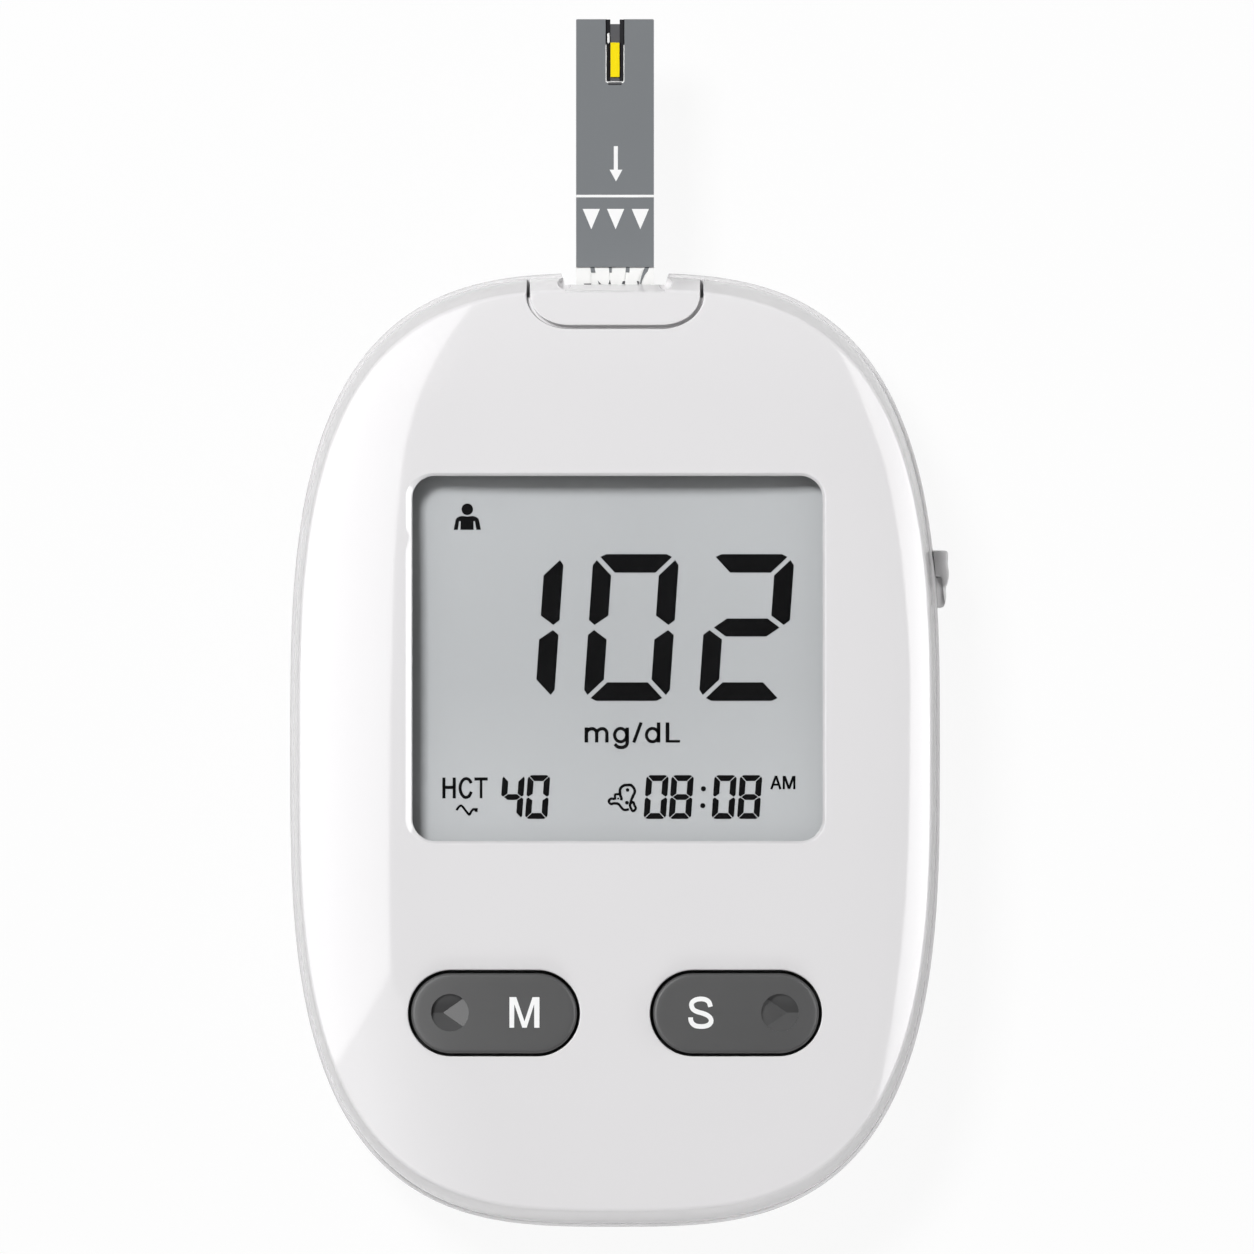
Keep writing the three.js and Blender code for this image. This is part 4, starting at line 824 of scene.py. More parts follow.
# %% Battery bay, screw holes and slots
cell_hole = prism(circle(CELL_RADIUS, 0, CELL_Y, 96), BELOW, BAY_TOP)
door_hole = prism(rounded(26.6, 28.6, 3.3, 0, CELL_Y), BELOW, 1.35)
hook_holes = [
    box(x - HOOK_HALF, x + HOOK_HALF, CELL_Y + 9, CELL_Y + 13, BELOW, BAY_TOP) for x in (-HOOK_X, HOOK_X)
]
contact_slot = box(-13.5, 0, CELL_Y - 2.3, CELL_Y + 2.3, 2.9, BAY_TOP)
latch_slot = box(-4.3, 4.3, CELL_Y - 12.4, CELL_Y, BELOW, BAY_TOP)
nail_notch = prism(circle(5, 0, CELL_Y - 14.3, 96), BELOW, 0.8)
back = combine(back, cell_hole, door_hole, *hook_holes, contact_slot, latch_slot, nail_notch)
back = combine(back, *[prism(circle(HEAD_RADIUS, x, y), BELOW, HEAD_TOP) for x, y in SCREWS])
back = combine(back, *[prism(circle(THREAD_RADIUS, x, y), 0, THREAD_TOP) for x, y in SCREWS])
slider_slot = box(25, 31.3, 12.99, 22.79, 6.6, LIP_EDGE[0][1])
cap_seat = box(-9.15, 9.15, 36.7, 43, PARTING, 12.5)
back = combine(back, slider_slot, cap_seat, notch_cutter())
piece(back, "back_cover_shell", "housing", white_cover_painted_side_shade, "white_shell", "back_cover")

# %% [markdown]
# ## Keys
# Each key is a satin cap that follows the crown of the face and stands a little proud of it, in a narrow dark gap.
# Its outer half has a round dimple with three sloping facets. Under it are a flange and a stem.

# %% Keys
KEY_PROUD, KEY_BEVEL = 0.3, 0.35
FLANGE_LOW, FLANGE_HIGH, FLANGE_OUT = 13.995, 14.995, 1
STEM_LOW, STEM_HIGH, STEM_RADIUS = 13.395, 14.9, 2


def key_cap(x):
    """A key whose rounded rim and closely ringed top follow the crown of the face."""
    rims = []
    for k in range(6):
        turn = k / 5 * math.pi / 2
        rims.append((KEY_BEVEL * (1 - math.cos(turn)), KEY_BEVEL * (1 - math.sin(turn))))
    rims += [(KEY_BEVEL + (KEY_WIDTH / 2 - KEY_BEVEL - 0.02) * k / 9, 0) for k in range(1, 10)]
    rows = [[(px, py, FLANGE_LOW) for px, py in key_plan(x, 0)]]
    for inset, drop in rims:
        rows.append([(px, py, face_height(px, py) + KEY_PROUD - drop) for px, py in key_plan(x, -inset)])
    return skin(rows)


INNER_SLOPE, SIDE_SLOPE, SIDE_TURN, VALLEY_TURN = 0.24, 0.393, math.radians(95), math.radians(35)
APEX_OUT, APEX_DEPTH, FACET_REACH = 0.62, 0.8, 14


def key_dimple(x):
    """A round bore with a floor of three facets that meet at a point towards the key's outer end."""
    out = math.copysign(1, x)
    middle = out * DIMPLE_X
    top = face_height(middle, DIMPLE_Y) + KEY_PROUD
    apex = (middle + out * APEX_OUT, DIMPLE_Y, top - APEX_DEPTH)
    outer_rise = SIDE_SLOPE * math.cos(math.pi - SIDE_TURN) * FACET_REACH
    inner_rise = INNER_SLOPE * math.cos(VALLEY_TURN) * FACET_REACH
    inward, sideways = -out * FACET_REACH * math.cos(VALLEY_TURN), FACET_REACH * math.sin(VALLEY_TURN)
    corners = [(out * FACET_REACH, 0, outer_rise)]
    corners += [(inward, out * sideways, inner_rise), (inward, -out * sideways, inner_rise)]
    corners = [(apex[0] + dx, apex[1] + dy, apex[2] + dz) for dx, dy, dz in corners]
    facets = solid([apex, *corners], [(0, 2, 1), (0, 3, 2), (0, 1, 3), (1, 2, 3)])
    bore = prism(circle(DIMPLE_RADIUS, middle, DIMPLE_Y, 72), top - 2, top + 2)
    return combine(bore, facets, how="INTERSECT")


for name, letter_side in (("memory", -1), ("set", 1)):
    x = letter_side * KEY_X
    length, width = KEY_LENGTH + 2 * FLANGE_OUT, KEY_WIDTH + 2 * FLANGE_OUT
    flange = prism(rounded(length, width, width / 2 - 0.001, x, KEY_Y, 24), FLANGE_LOW, FLANGE_HIGH)
    stem = prism(circle(STEM_RADIUS, x, KEY_Y), STEM_LOW, STEM_HIGH)
    key = combine(join(key_cap(x), flange, stem), key_dimple(x))
    piece(key, name + "_key_cap", name + "_key", grey_key, "grey_key", name + "_button", sharp=25)

# %% [markdown]
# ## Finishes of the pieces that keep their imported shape
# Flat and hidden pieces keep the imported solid. Only their finish changes, and a narrow bevel takes the edge off
# them, as no real moulded or stamped edge is quite sharp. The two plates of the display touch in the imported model.
# In a real one a thin rim of glue keeps them apart, so a modifier draws the front plate in by about a hundredth of
# a millimetre on every side. Two faces in exactly the same place would flicker in the render.

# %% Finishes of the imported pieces
EDGE_BEVEL, GLUE_GAP = 0.03, 0.02
KEPT = {
    clear_lens: ["display_lens", "lcd_front_glass"],
    display_glass: ["lcd_rear_glass"],
    black_plastic: ["lcd_frame", "strip_connector"],
    grey_rubber: ["zebra_connector", "memory_switch_plunger", "set_switch_plunger"],
    board_laminate: ["main_board"],
    chip_resin: ["processor_chip", "memory_chip", "buzzer", "memory_switch", "set_switch"],
    steel: ["crystal", "battery_cell", *["case_screw_%d" % i for i in range(1, 5)]],
    gilt_contact: [
        "battery_contact_negative", "battery_contact_positive", *["strip_contact_%d" % i for i in range(1, 6)]
    ],
    white_shell: ["battery_door"],
    strip_white: ["strip_base"],
    reagent_yellow: ["strip_reagent_pad"],
}
glue_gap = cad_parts["lcd_front_glass"].modifiers.new("glue_gap", "DISPLACE")
glue_gap.mid_level = 0
glue_gap.strength = -GLUE_GAP * MM
for material, names in KEPT.items():
    for name in names:
        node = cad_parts[name]
        for place in node.material_slots:
            place.material = material
        bevel = node.modifiers.new("edge", "BEVEL")
        bevel.width = EDGE_BEVEL * MM
        bevel.segments = 2
        bevel.limit_method = "ANGLE"
        bevel.angle_limit = math.radians(40)
        bevel.harden_normals = True
print("kept", sum(len(names) for names in KEPT.values()))

# %% [markdown]
# ## Return spring
# The spring is wound round a line along Y between the slider's seat and the housing's. It is a tube swept round an
# even helix.

# %% Return spring
SPRING_TURNS, TURN_STEPS, SPRING_RADIUS, WIRE_RADIUS = 6, 28, 1.4, 0.24
SPRING_X, SPRING_START, SPRING_END, SPRING_Z = 10.489, 18.05, 26.45, 7.05


def tube(path, radius, sides=10):
    """A closed tube round a path of points."""
    rows = []
    side = Vector((1, 0, 0))
    for i, here in enumerate(path):
        ahead = (path[min(i + 1, len(path) - 1)] - path[max(i - 1, 0)]).normalized()
        side = (side - ahead * side.dot(ahead)).normalized()
        up = ahead.cross(side)
        turns = [2 * math.pi * k / sides for k in range(sides)]
        rows.append([tuple(here + side * (radius * math.cos(t)) + up * (radius * math.sin(t))) for t in turns])
    return skin(rows)


def spring_path():
    """The middle of the wire."""
    points = []
    for i in range(SPRING_TURNS * TURN_STEPS + 1):
        share = i / (SPRING_TURNS * TURN_STEPS)
        turn = share * SPRING_TURNS * 2 * math.pi
        along = SPRING_START + share * (SPRING_END - SPRING_START)
        x, z = SPRING_X + SPRING_RADIUS * math.cos(turn), SPRING_Z + SPRING_RADIUS * math.sin(turn)
        points.append(Vector((x, along, z)))
    return points


winding = tube(spring_path(), WIRE_RADIUS)
spring = piece(winding, "return_spring", "housing", steel, "steel", "ejector_spring", sharp=60)
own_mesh(spring)

# %% [markdown]
# ## Flat marks
# The segments of the display and the printed marks are thin plates with crisp edges, not pictures, so they stay
# sharp at any zoom. Their places were measured in the photograph. A font would be quicker for the words, but its
# shapes would not be the display's, so each word and picture is drawn with a pen: a flat ribbon on a smooth line
# through a few places.

# %% Places and plates
PIXELS_PER_MM = 11.1
PAGE_MIDDLE = (615, 750)
REAR_GLASS_TOP = 15.185
HAIR, MARK_THICKNESS = 0.002, 0.02
MARK_LOW, MARK_HIGH = REAR_GLASS_TOP + HAIR, REAR_GLASS_TOP + HAIR + MARK_THICKNESS


def spot(px, py, middle=PAGE_MIDDLE[0]):
    """A place measured in the photograph, in millimetres."""
    return (px - middle) / PIXELS_PER_MM, (PAGE_MIDDLE[1] - py) / PIXELS_PER_MM


def spots(*places, middle=PAGE_MIDDLE[0]):
    return [spot(px, py, middle) for px, py in places]


def plates(outlines, low, high):
    """Thin plates of one thickness, held by one object."""
    points, faces = [], []
    for outline in outlines:
        turn = sum(a[0] * b[1] - b[0] * a[1] for a, b in zip(outline, outline[1:] + outline[:1]))
        plan = outline if turn > 0 else outline[::-1]
        start, count = len(points), len(plan)
        points += [(x, y, low) for x, y in plan] + [(x, y, high) for x, y in plan]
        for i in range(count):
            j = (i + 1) % count
            faces.append((start + i, start + j, start + count + j, start + count + i))
        faces.append(tuple(start + i for i in reversed(range(count))))
        faces.append(tuple(start + count + i for i in range(count)))
    return solid(points, faces)


print("marks from", MARK_LOW, "to", round(MARK_HIGH, 3), "mm")

# %% Pen lines


def stroke(places, width, closed=False, steps=6, straight=False):
    """A pen line through measured places: a flat ribbon with square ends, on the display's level.

    Between two places it follows a cubic curve, which also heeds the place before and the place after.
    """
    corners = [Vector(spot(px, py)) for px, py in places]
    count = len(corners)
    line = []
    for i in range(count if closed else count - 1):
        if closed:
            before, start, end, after = [corners[(i + k) % count] for k in (-1, 0, 1, 2)]
        else:
            before, start, end, after = [corners[min(max(i + k, 0), count - 1)] for k in (-1, 0, 1, 2)]
        for k in range(1 if straight else steps):
            t = k / steps
            curve = start * 2 + (end - before) * t + (before * 2 - start * 5 + end * 4 - after) * t**2
            line.append((curve + (start * 3 - before - end * 3 + after) * t**3) / 2)
    line.append(corners[0] if closed else corners[-1])
    rows = []
    for i, here in enumerate(line):
        back, ahead = line[max(i - 1, 0)], line[min(i + 1, len(line) - 1)]
        if closed and i in (0, len(line) - 1):
            back, ahead = line[-2], line[1]
        along = (ahead - back).normalized()
        left = Vector((-along.y, along.x)) * (width / PIXELS_PER_MM / 2)
        (ax, ay), (bx, by) = here + left, here - left
        rows.append([(ax, ay, MARK_LOW), (ax, ay, MARK_HIGH), (bx, by, MARK_HIGH), (bx, by, MARK_LOW)])
    return skin(rows)


INK_SPREAD = 0.35


def pen(*lines):
    """Several pen lines: each is a width and its places."""
    return gather(*[stroke(places, width + INK_SPREAD, straight=len(places) < 3) for width, places in lines])


def gather(*holders):
    """Puts solids that don't touch into one object."""
    work = bmesh.new()
    for holder in holders:
        work.from_mesh(holder.data)
    mesh = holders[0].data
    work.to_mesh(mesh)
    work.free()
    for holder in holders[1:]:
        bpy.data.objects.remove(holder)
    return holders[0]


print("one pixel is", round(1 / PIXELS_PER_MM, 3), "mm")

# %% [markdown]
# ## Display marks
# A seven-segment digit is seven tapered bars with fine gaps between them, leaning a little. The large reading and
# the small numbers share one set of proportions, scaled by the thickness of a bar.

# %% Seven-segment digits
LEAN = 0.0695
THICK_BAR = 18.5
SEGMENTS = {"0": "abcdef", "1": "bc", "2": "abged", "4": "fgbc", "8": "abcdefg"}


def digit(sign, left, top, width, height, thickness, grow=0.0):
    """The outlines of one leaning digit. Its bars may grow at their ends, which narrows the gaps."""
    k = thickness / THICK_BAR
    half = height / 2
    bar = [(7, 2.8), (12.7, 0), (-12.7, 0), (-7, 2.8), (-22.5, 18.5), (22.5, 18.5)]
    bar = [(x * k - grow if x > 0 else width + x * k + grow, y * k) for x, y in bar]
    post = [(3.7 * k, 5.9 * k - grow), (19 * k, 21.3 * k - grow), (19 * k, half - 11.85 * k + grow)]
    post += [(5.9 * k, half - 2.55 * k + grow), (0, half - 7.35 * k + grow), (0, 11 * k - grow)]
    middle = [(10, 0), (22.5, -9), (-22.5, -9), (-10, 0), (-22.5, 9), (22.5, 9)]
    middle = [(x * k - grow if x > 0 else width + x * k + grow, half + y * k) for x, y in middle]
    shapes = {"a": bar, "f": post, "g": middle}
    shapes["d"] = [(x, height - y) for x, y in bar]
    shapes["b"] = [(width - x, y) for x, y in post]
    shapes["e"] = [(x, height - y) for x, y in post]
    shapes["c"] = [(width - x, height - y) for x, y in post]
    outlines = []
    for segment in SEGMENTS[sign]:
        outlines.append([spot(left + x + LEAN * (half - y), top + y) for x, y in shapes[segment]])
    return outlines


READING = [("1", 473.5), ("0", 588.5), ("2", 703.6)]
SMALL_NUMBERS = [("4", 501.3), ("0", 526.6), ("0", 644.9), ("8", 670.0), ("0", 712.8), ("8", 738.3)]
COLON = [(703.3, 788.5), (702.6, 805.3)]
segments = []
for sign, left in READING:
    segments += digit(sign, left, 554.25, 85.6, 146.5, THICK_BAR)
for sign, left in SMALL_NUMBERS:
    segments += digit(sign, left, 774.9, 22.3, 43.7, 5.9, 0.45)
segments += [circle(2.6 / PIXELS_PER_MM, *spot(*place), 24) for place in COLON]
piece(plates(segments, MARK_LOW, MARK_HIGH), "display_digits", "housing", segment_ink, "black_plastic")

# %% [markdown]
# ## Words and pictures on the display
# The unit, HCT and AM are plain words, and the person, the bell and the small wave are plain signs of such meters.
# Each row is one pen line: its width and its places, in pixels of the photograph. Filled shapes are outlines.

# %% Person, unit and words
PERSON = [(454, 530), (455.3, 523.3), (456.1, 519.5), (457.4, 517.9), (459.1, 516.9), (462.2, 516.1)]
PERSON += [(464.8, 516.4), (467.5, 516.8), (470.4, 516.4), (473, 516.1), (476, 516.9), (478, 518.2)]
PERSON += [(479, 519.5), (479.9, 523.3), (481.1, 530), (476.6, 530), (475.2, 521.4), (473.7, 521.4)]
PERSON += [(473.9, 530), (460.7, 530), (460.9, 521.4), (459.4, 521.4), (458, 530)]
UNIT = [
    (3.3, [(586.4, 727.3), (586.4, 742.3)]),
    (3.0, [(587, 731.6), (588.6, 729.6), (591.5, 728.5), (594.6, 729.3), (596.4, 731.6), (596.7, 735)]
     + [(596.7, 742.3)]),
    (3.0, [(597.2, 731.6), (598.8, 729.6), (602, 728.5), (604.9, 729.3), (606.6, 731.7), (606.9, 735)]
     + [(606.9, 742.3)]),
    (3.1, [(627.2, 727.4), (627.2, 735), (627.1, 742.4), (626.4, 745), (624, 746.8), (620.8, 747.2)]
     + [(617.4, 746.4), (614.8, 743.8)]),
    (2.9, [(641.1, 722.3), (633.7, 742.3)]),
    (3.2, [(658.5, 722.3), (658.5, 742.3)]),
    (3.4, [(667.4, 722.3), (667.4, 742.3)]),
    (2.2, [(667.4, 741.1), (680.1, 741.1)]),
]
BOWLS = [(620.6, 734.9), (652.4, 734.9)]
HCT = [
    (2.8, [(444.2, 777.3), (444.2, 798.1)]),
    (2.8, [(454.5, 777.3), (454.5, 798.1)]),
    (2.8, [(444.2, 787.1), (454.5, 787.1)]),
    (2.7, [(471.4, 783), (469.7, 779.8), (466.6, 778.3), (463.6, 779.6), (461.3, 782.7), (460.3, 787.3)]
     + [(461.1, 792), (463.3, 795.8), (466.2, 797.1), (469.2, 795.8), (471.6, 791.4)]),
    (2.8, [(474.7, 778.7), (488, 778.7)]),
    (2.3, [(481.3, 778.7), (481.3, 798)]),
    (1.9, [(456.8, 809.9), (458.9, 806.8), (461.2, 805.3), (463.3, 806.9), (466.6, 811.2), (469.6, 814.2)]
     + [(471.5, 811.2), (473.8, 808.8), (475.6, 809.7)]),
    (2.4, [(476.9, 807.8), (476.2, 811.6)]),
]
MORNING = [
    (2.0, [(771, 789), (775.7, 775.6)]),
    (2.0, [(780.2, 789), (775.7, 775.6)]),
    (1.7, [(772.6, 784.4), (778.8, 784.4)]),
    (1.9, [(783.5, 775.6), (783.5, 789)]),
    (1.9, [(794.0, 775.6), (794.0, 789)]),
    (2.1, [(784.3, 776), (788.7, 788.6)]),
    (2.1, [(793.2, 776), (788.7, 788.6)]),
]

# %% The bell, and all of them in one piece
BELL = [
    (2.2, [(629, 808.9), (625.7, 809.6), (623.2, 809.1), (620.9, 806.6), (618.6, 803.8), (616.3, 803.1)]
     + [(613.5, 803.1), (611.4, 803.8), (609.7, 802.7), (608.8, 801), (609.9, 799.2), (611.4, 798.4)]
     + [(614.8, 798.7)]),
    (2.0, [(615.3, 799.4), (614.9, 795.3), (615.8, 794.1), (620, 793.9)]),
    (2.4, [(621.1, 800), (621.4, 797.9), (620.4, 795.3), (620, 792.8), (620, 789.5), (621.4, 786.9), (624.2, 785.1)]
     + [(627.5, 784.8), (630.8, 784.9), (633.1, 786.9), (634.5, 789.5), (634.7, 792), (632.9, 795.9)]
     + [(631.3, 799.7), (630.4, 804)]),
]
CLAPPER = [(630.1, 803.5), (630.3, 806.6), (631.6, 809.4), (632.9, 810.7), (634.9, 809.6), (635.7, 807.6)]
CLAPPER += [(634.4, 805), (633.2, 802)]
words = [pen(*UNIT), pen(*HCT), pen(*MORNING)]
turns = [math.pi * k / 6 for k in range(12)]
for px, py in BOWLS:
    bowl = [(px + 6 * math.cos(t), py + 6.6 * math.sin(t)) for t in turns]
    words.append(stroke(bowl, 3.2, closed=True))
head = circle(5.75 / PIXELS_PER_MM, *spot(467.55, 509.5), 40)
person = plates([spots(*PERSON), head], MARK_LOW, MARK_HIGH)
bell = gather(pen(*BELL), stroke(CLAPPER, 2.5, closed=True))
RIVETS = [((627.5, 789.7), 1.8), ((626.9, 802.4), 1.9), ((618.2, 798.3), 1.0)]
dots = [circle(radius / PIXELS_PER_MM, *spot(*place), 20) for place, radius in RIVETS]
pictures = gather(*words, person, bell, plates(dots, MARK_LOW, MARK_HIGH))
piece(pictures, "display_words_and_pictures", "housing", segment_ink, "black_plastic")

# %% [markdown]
# ## Letters on the keys
# M for memory and S for set are the plain function letters of such keys, printed in white. Each is a thin plate
# that is pressed on to the crown of its key.

# %% Key letters


def drape(holder, lift, height):
    """Sets a flat solid on a surface, whose height over a place is given."""
    for vertex in holder.data.vertices:
        vertex.co.z = vertex.co.z + height(vertex.co.x, vertex.co.y) + lift
    return holder


M_OUTLINE = [(509.8, 1026.4), (509.8, 995.9), (516.6, 995.9), (524.8, 1020.2), (532.8, 995.9), (539.7, 995.9)]
M_OUTLINE += [(539.7, 1026.4), (534.5, 1026.4), (534.4, 1003), (527, 1026.4), (522.6, 1026.4), (514.7, 1003)]
M_OUTLINE += [(514.5, 1026.4)]
S_LINE = [(710.2, 1005.6), (708.7, 1001), (705.4, 998.5), (700.6, 997.7), (695.6, 998.6), (692, 1001.1)]
S_LINE += [(691.3, 1004.5), (693.3, 1008.4), (697.6, 1010.7), (702.2, 1012), (707.3, 1014.2), (710.4, 1017.4)]
S_LINE += [(710.7, 1020.6), (708.6, 1023.5), (704.8, 1024.9), (700.5, 1025.2), (695.6, 1024.5), (692.2, 1022.2)]
S_LINE += [(690.6, 1018.8), (690.4, 1016.1)]
S_WIDTH = 4.7
flat_letters = {"memory": plates([spots(*M_OUTLINE)], MARK_LOW, MARK_HIGH), "set": stroke(S_LINE, S_WIDTH)}
for key, flat_letter in flat_letters.items():
    letter = drape(flat_letter, KEY_PROUD + HAIR - MARK_LOW, face_height)
    piece(letter, key + "_letter", key + "_key", white_ink_and_painted_highlight, "white_shell")

# %% [markdown]
# ## Test strip
# A strip is laminated: a white base, printed carbon and silver, an adhesive spacer with the capillary channel, and
# a grey cover film with white marks. The layers were cut to the photograph's outlines. The channel's walls lean in
# and are black with adhesive.

# %% Strip layers
STRIP_MIDDLE = 617
STRIP_BASE_TOP, PAD_TOP, SPACER_TOP, FILM_TOP = 12.32, 12.40, 12.52, 12.62
TIP_Y, FILM_Y, CHANNEL_END_Y, TIP_NOTCH_Y = 65.8, 43.5, 59.94, 65.37
HALF_STRIP, HALF_CHANNEL, HALF_FLOOR = 3.5, 0.79, 0.42
FILM_BEVEL, CORNER_CUT, CHANNEL_CUT = 0.06, 0.07, 0.3


def strip_spots(*places):
    """Places on the strip, which lies a little off the photograph's middle line."""
    return spots(*places, middle=STRIP_MIDDLE)


def channel(wider, low, high):
    """The channel as a solid: it runs out of the tip, and its inner corners are cut."""
    half, end_y, cut = HALF_CHANNEL + wider, CHANNEL_END_Y - wider, CHANNEL_CUT
    plan = [(-half, TIP_Y + 1), (-half, end_y + cut), (-half + cut, end_y), (half - cut, end_y), (half, end_y + cut)]
    return plates([plan + [(half, TIP_Y + 1)]], low, high)


def strip_sheet(low, high, bevel):
    """A layer with the channel cut out. Its corners are cut a little."""
    side, inner, end = HALF_STRIP, HALF_STRIP - CORNER_CUT, TIP_Y - CORNER_CUT
    sheet_plan = [(-side, FILM_Y), (side, FILM_Y), (side, end), (inner, TIP_Y), (-inner, TIP_Y), (-side, end)]
    return combine(prism(sheet_plan, low, high), channel(bevel, low - 1, high + 1))


film = strip_sheet(SPACER_TOP, FILM_TOP, FILM_BEVEL)
piece(film, "strip_film", "test_strip", strip_grey, "strip_grey", "strip_cover_film")
adhesive = strip_sheet(PAD_TOP, SPACER_TOP, 0)
piece(adhesive, "strip_adhesive", "test_strip", strip_dark, "strip_grey", "strip_spacer")
cut_edge = combine(channel(0.055, SPACER_TOP + HAIR, FILM_TOP - 2 * HAIR), channel(-0.02, 12, 13))
cut_edge = combine(cut_edge, box(-2, 2, 60.05, 63.5, 12, 13), how="INTERSECT")
piece(cut_edge, "strip_film_cut_edge", "test_strip", strip_white, "strip_film")
print("channel", round(TIP_Y - CHANNEL_END_Y, 2), "mm long")

# %% Channel walls and floor
CHANNEL_START_Y = 60.25
WALL_FOOT, WALL_STEP, WALL_CREST = STRIP_BASE_TOP + 0.005, STRIP_BASE_TOP + 0.025, SPACER_TOP - 0.005


def leaning_wall(side):
    """One wall of the channel, which leans in from its crest to the channel's floor."""
    foot, crest = HALF_CHANNEL, HALF_CHANNEL - 0.03
    profile = [(foot, WALL_FOOT), (crest, WALL_CREST), (HALF_FLOOR, WALL_STEP), (HALF_FLOOR, WALL_FOOT)]
    profile = profile[::side]
    return skin([[(side * x, y, z) for x, z in profile] for y in (CHANNEL_START_Y, TIP_Y - 0.02)])


walls = gather(leaning_wall(-1), leaning_wall(1))
piece(walls, "strip_channel_walls", "test_strip", strip_dark, "strip_grey", sharp=10)
floor_start = CHANNEL_START_Y + 0.01
channel_floor = box(-HALF_FLOOR, HALF_FLOOR, floor_start, TIP_NOTCH_Y, STRIP_BASE_TOP + HAIR, STRIP_BASE_TOP + 0.012)
END_SLOPE = [(STRIP_BASE_TOP + HAIR, 0), (12.34, 0.16)]
end_slope = skin([
    [(-0.74, CHANNEL_START_Y, z), (0.74, CHANNEL_START_Y, z), (0.5, 59.95, z + rise), (-0.5, 59.95, z + rise)]
    for z, rise in END_SLOPE
])
piece(gather(channel_floor, end_slope), "strip_channel_floor", "test_strip", strip_mid, "strip_grey", sharp=10)
vent_plan = strip_spots((609.2, 34.2), (611.2, 33), (611.6, 42.6), (610.4, 43.8), (609.4, 42.6))
vent = plates([vent_plan], SPACER_TOP, SPACER_TOP + 0.015)
piece(vent, "strip_vent_glint", "test_strip", strip_white, "strip_film")

# %% Pads and their edges
PADS = [
    [(578.2, 267.2), (592.4, 267.2), (592.8, 275), (593.2, 352), (578.2, 352)],
    [(596.3, 267.2), (610.8, 267.2), (611.9, 280), (611.4, 352), (604.2, 352), (603.2, 284.4), (599.7, 280.8)],
    [(613.9, 267.2), (628, 267.2), (626.6, 284), (626.6, 352), (613.4, 352)],
    [(631.7, 267.2), (647.1, 267.2), (641.2, 277), (639.4, 284), (639.4, 352), (628.2, 352), (628.6, 284)],
    [(651.2, 267.2), (655.8, 267.2), (655.8, 352), (643.4, 352), (643.4, 284), (646, 277)],
]
sheet = box(-3.3, 3.3, FILM_Y, 60.2, STRIP_BASE_TOP, PAD_TOP)
pads = [plates([strip_spots(*pad)], STRIP_BASE_TOP, PAD_TOP) for pad in PADS]
piece(join(sheet, *pads), "strip_pads", "test_strip", strip_white, "strip_film", "strip_electrodes")
TABS = [
    [(592.3, 267.3), (596.4, 267.3), (597.6, 272.8), (593, 272.8)],
    [(610.7, 267.3), (614, 267.3), (613.7, 272.9), (611.4, 272.9)],
    [(627.8, 267.3), (631.8, 267.3), (631.4, 272.9), (627.6, 272.4)],
    [(647, 267.3), (651.3, 267.3), (649.6, 271.6), (646.8, 275), (644.2, 280), (643, 284.2), (641.6, 284.2)]
    + [(643.4, 276)],
]
FEET = [
    [(599.7, 280.6), (603.2, 284.4), (600.8, 284.4)],
    [(611.8, 279.8), (612.9, 284.4), (610.4, 284.4)],
    [(624.6, 281.4), (627.2, 281.2), (626.6, 284.4), (623.8, 284.4)],
    [(638.7, 281), (641, 281.8), (640.6, 284.4), (639.8, 284.4)],
    [(586, 283.8), (593.3, 283.6), (593, 284.8), (586, 284.8)],
]
tabs = plates([strip_spots(*tab) for tab in TABS], PAD_TOP + HAIR, PAD_TOP + 0.012)
piece(tabs, "strip_film_tabs", "test_strip", strip_grey, "strip_grey")
feet = plates([strip_spots(*foot) for foot in FEET], PAD_TOP + HAIR, PAD_TOP + 0.01)
piece(feet, "strip_carbon_feet", "test_strip", strip_mid, "strip_grey")

# %% Printed marks on the film
ARROW = [(615.8, 146.5), (619.8, 146.5), (619.8, 170), (624.4, 170), (618, 181.7), (611.6, 170), (615.8, 170)]
FILL_LINE = [(578.2, 195.1), (655.8, 195.1), (655.8, 197.6), (578.2, 197.6)]
TRIANGLES = [[(px - 8.6, 209.2), (px + 8.6, 209.2), (px, 229.6)] for px in (593.3, 617.6, 642.3)]
marks = plates([strip_spots(*mark) for mark in (ARROW, FILL_LINE, *TRIANGLES)], FILM_TOP + HAIR, FILM_TOP + 0.01)
piece(marks, "strip_printed_marks", "test_strip", white_ink_and_painted_highlight, "strip_film")

# %% [markdown]
# ## Ejector slider
# The thumb piece is two forms in one: a hooked lip, whose top rolls down towards its tip, and a lower step behind
# it. Inside, a neck carries the bar and the pusher that comes up behind the strip. The inner shapes keep the packed
# sizes, because they have to clear the housing.

# %% The hooked lip
LIP_BOTTOM, LIP_TOP, STEP_TOP, STEP_TILT = 5.206, 9.4, 8.4, 0.4
ROOT_X, THUMB_GAP, OUTER_X = 27.3, 0.02, 29.5
LIP = [(944.6, 550.4), (947.0, 551.1), (948.2, 553), (948.3, 558), (948.1, 563), (948.6, 568), (949.2, 573)]
LIP += [(949.0, 578), (948.2, 582.4), (947, 585.6), (945.4, 587.2), (944.9, 584.5), (944.0, 580.6), (942.4, 577.6)]
LIP += [(940.4, 576.6)]
LIP_MIDDLE, LIP_END_Y = (28.6, 16.6), 17.98
LIP_ROUND = [(0, 0.3), (0.05, 0.14), (0.14, 0.04), (0.26, 0)]
ROLL_START_Y, ROLL_BACK_Y = 17.5, 17.6


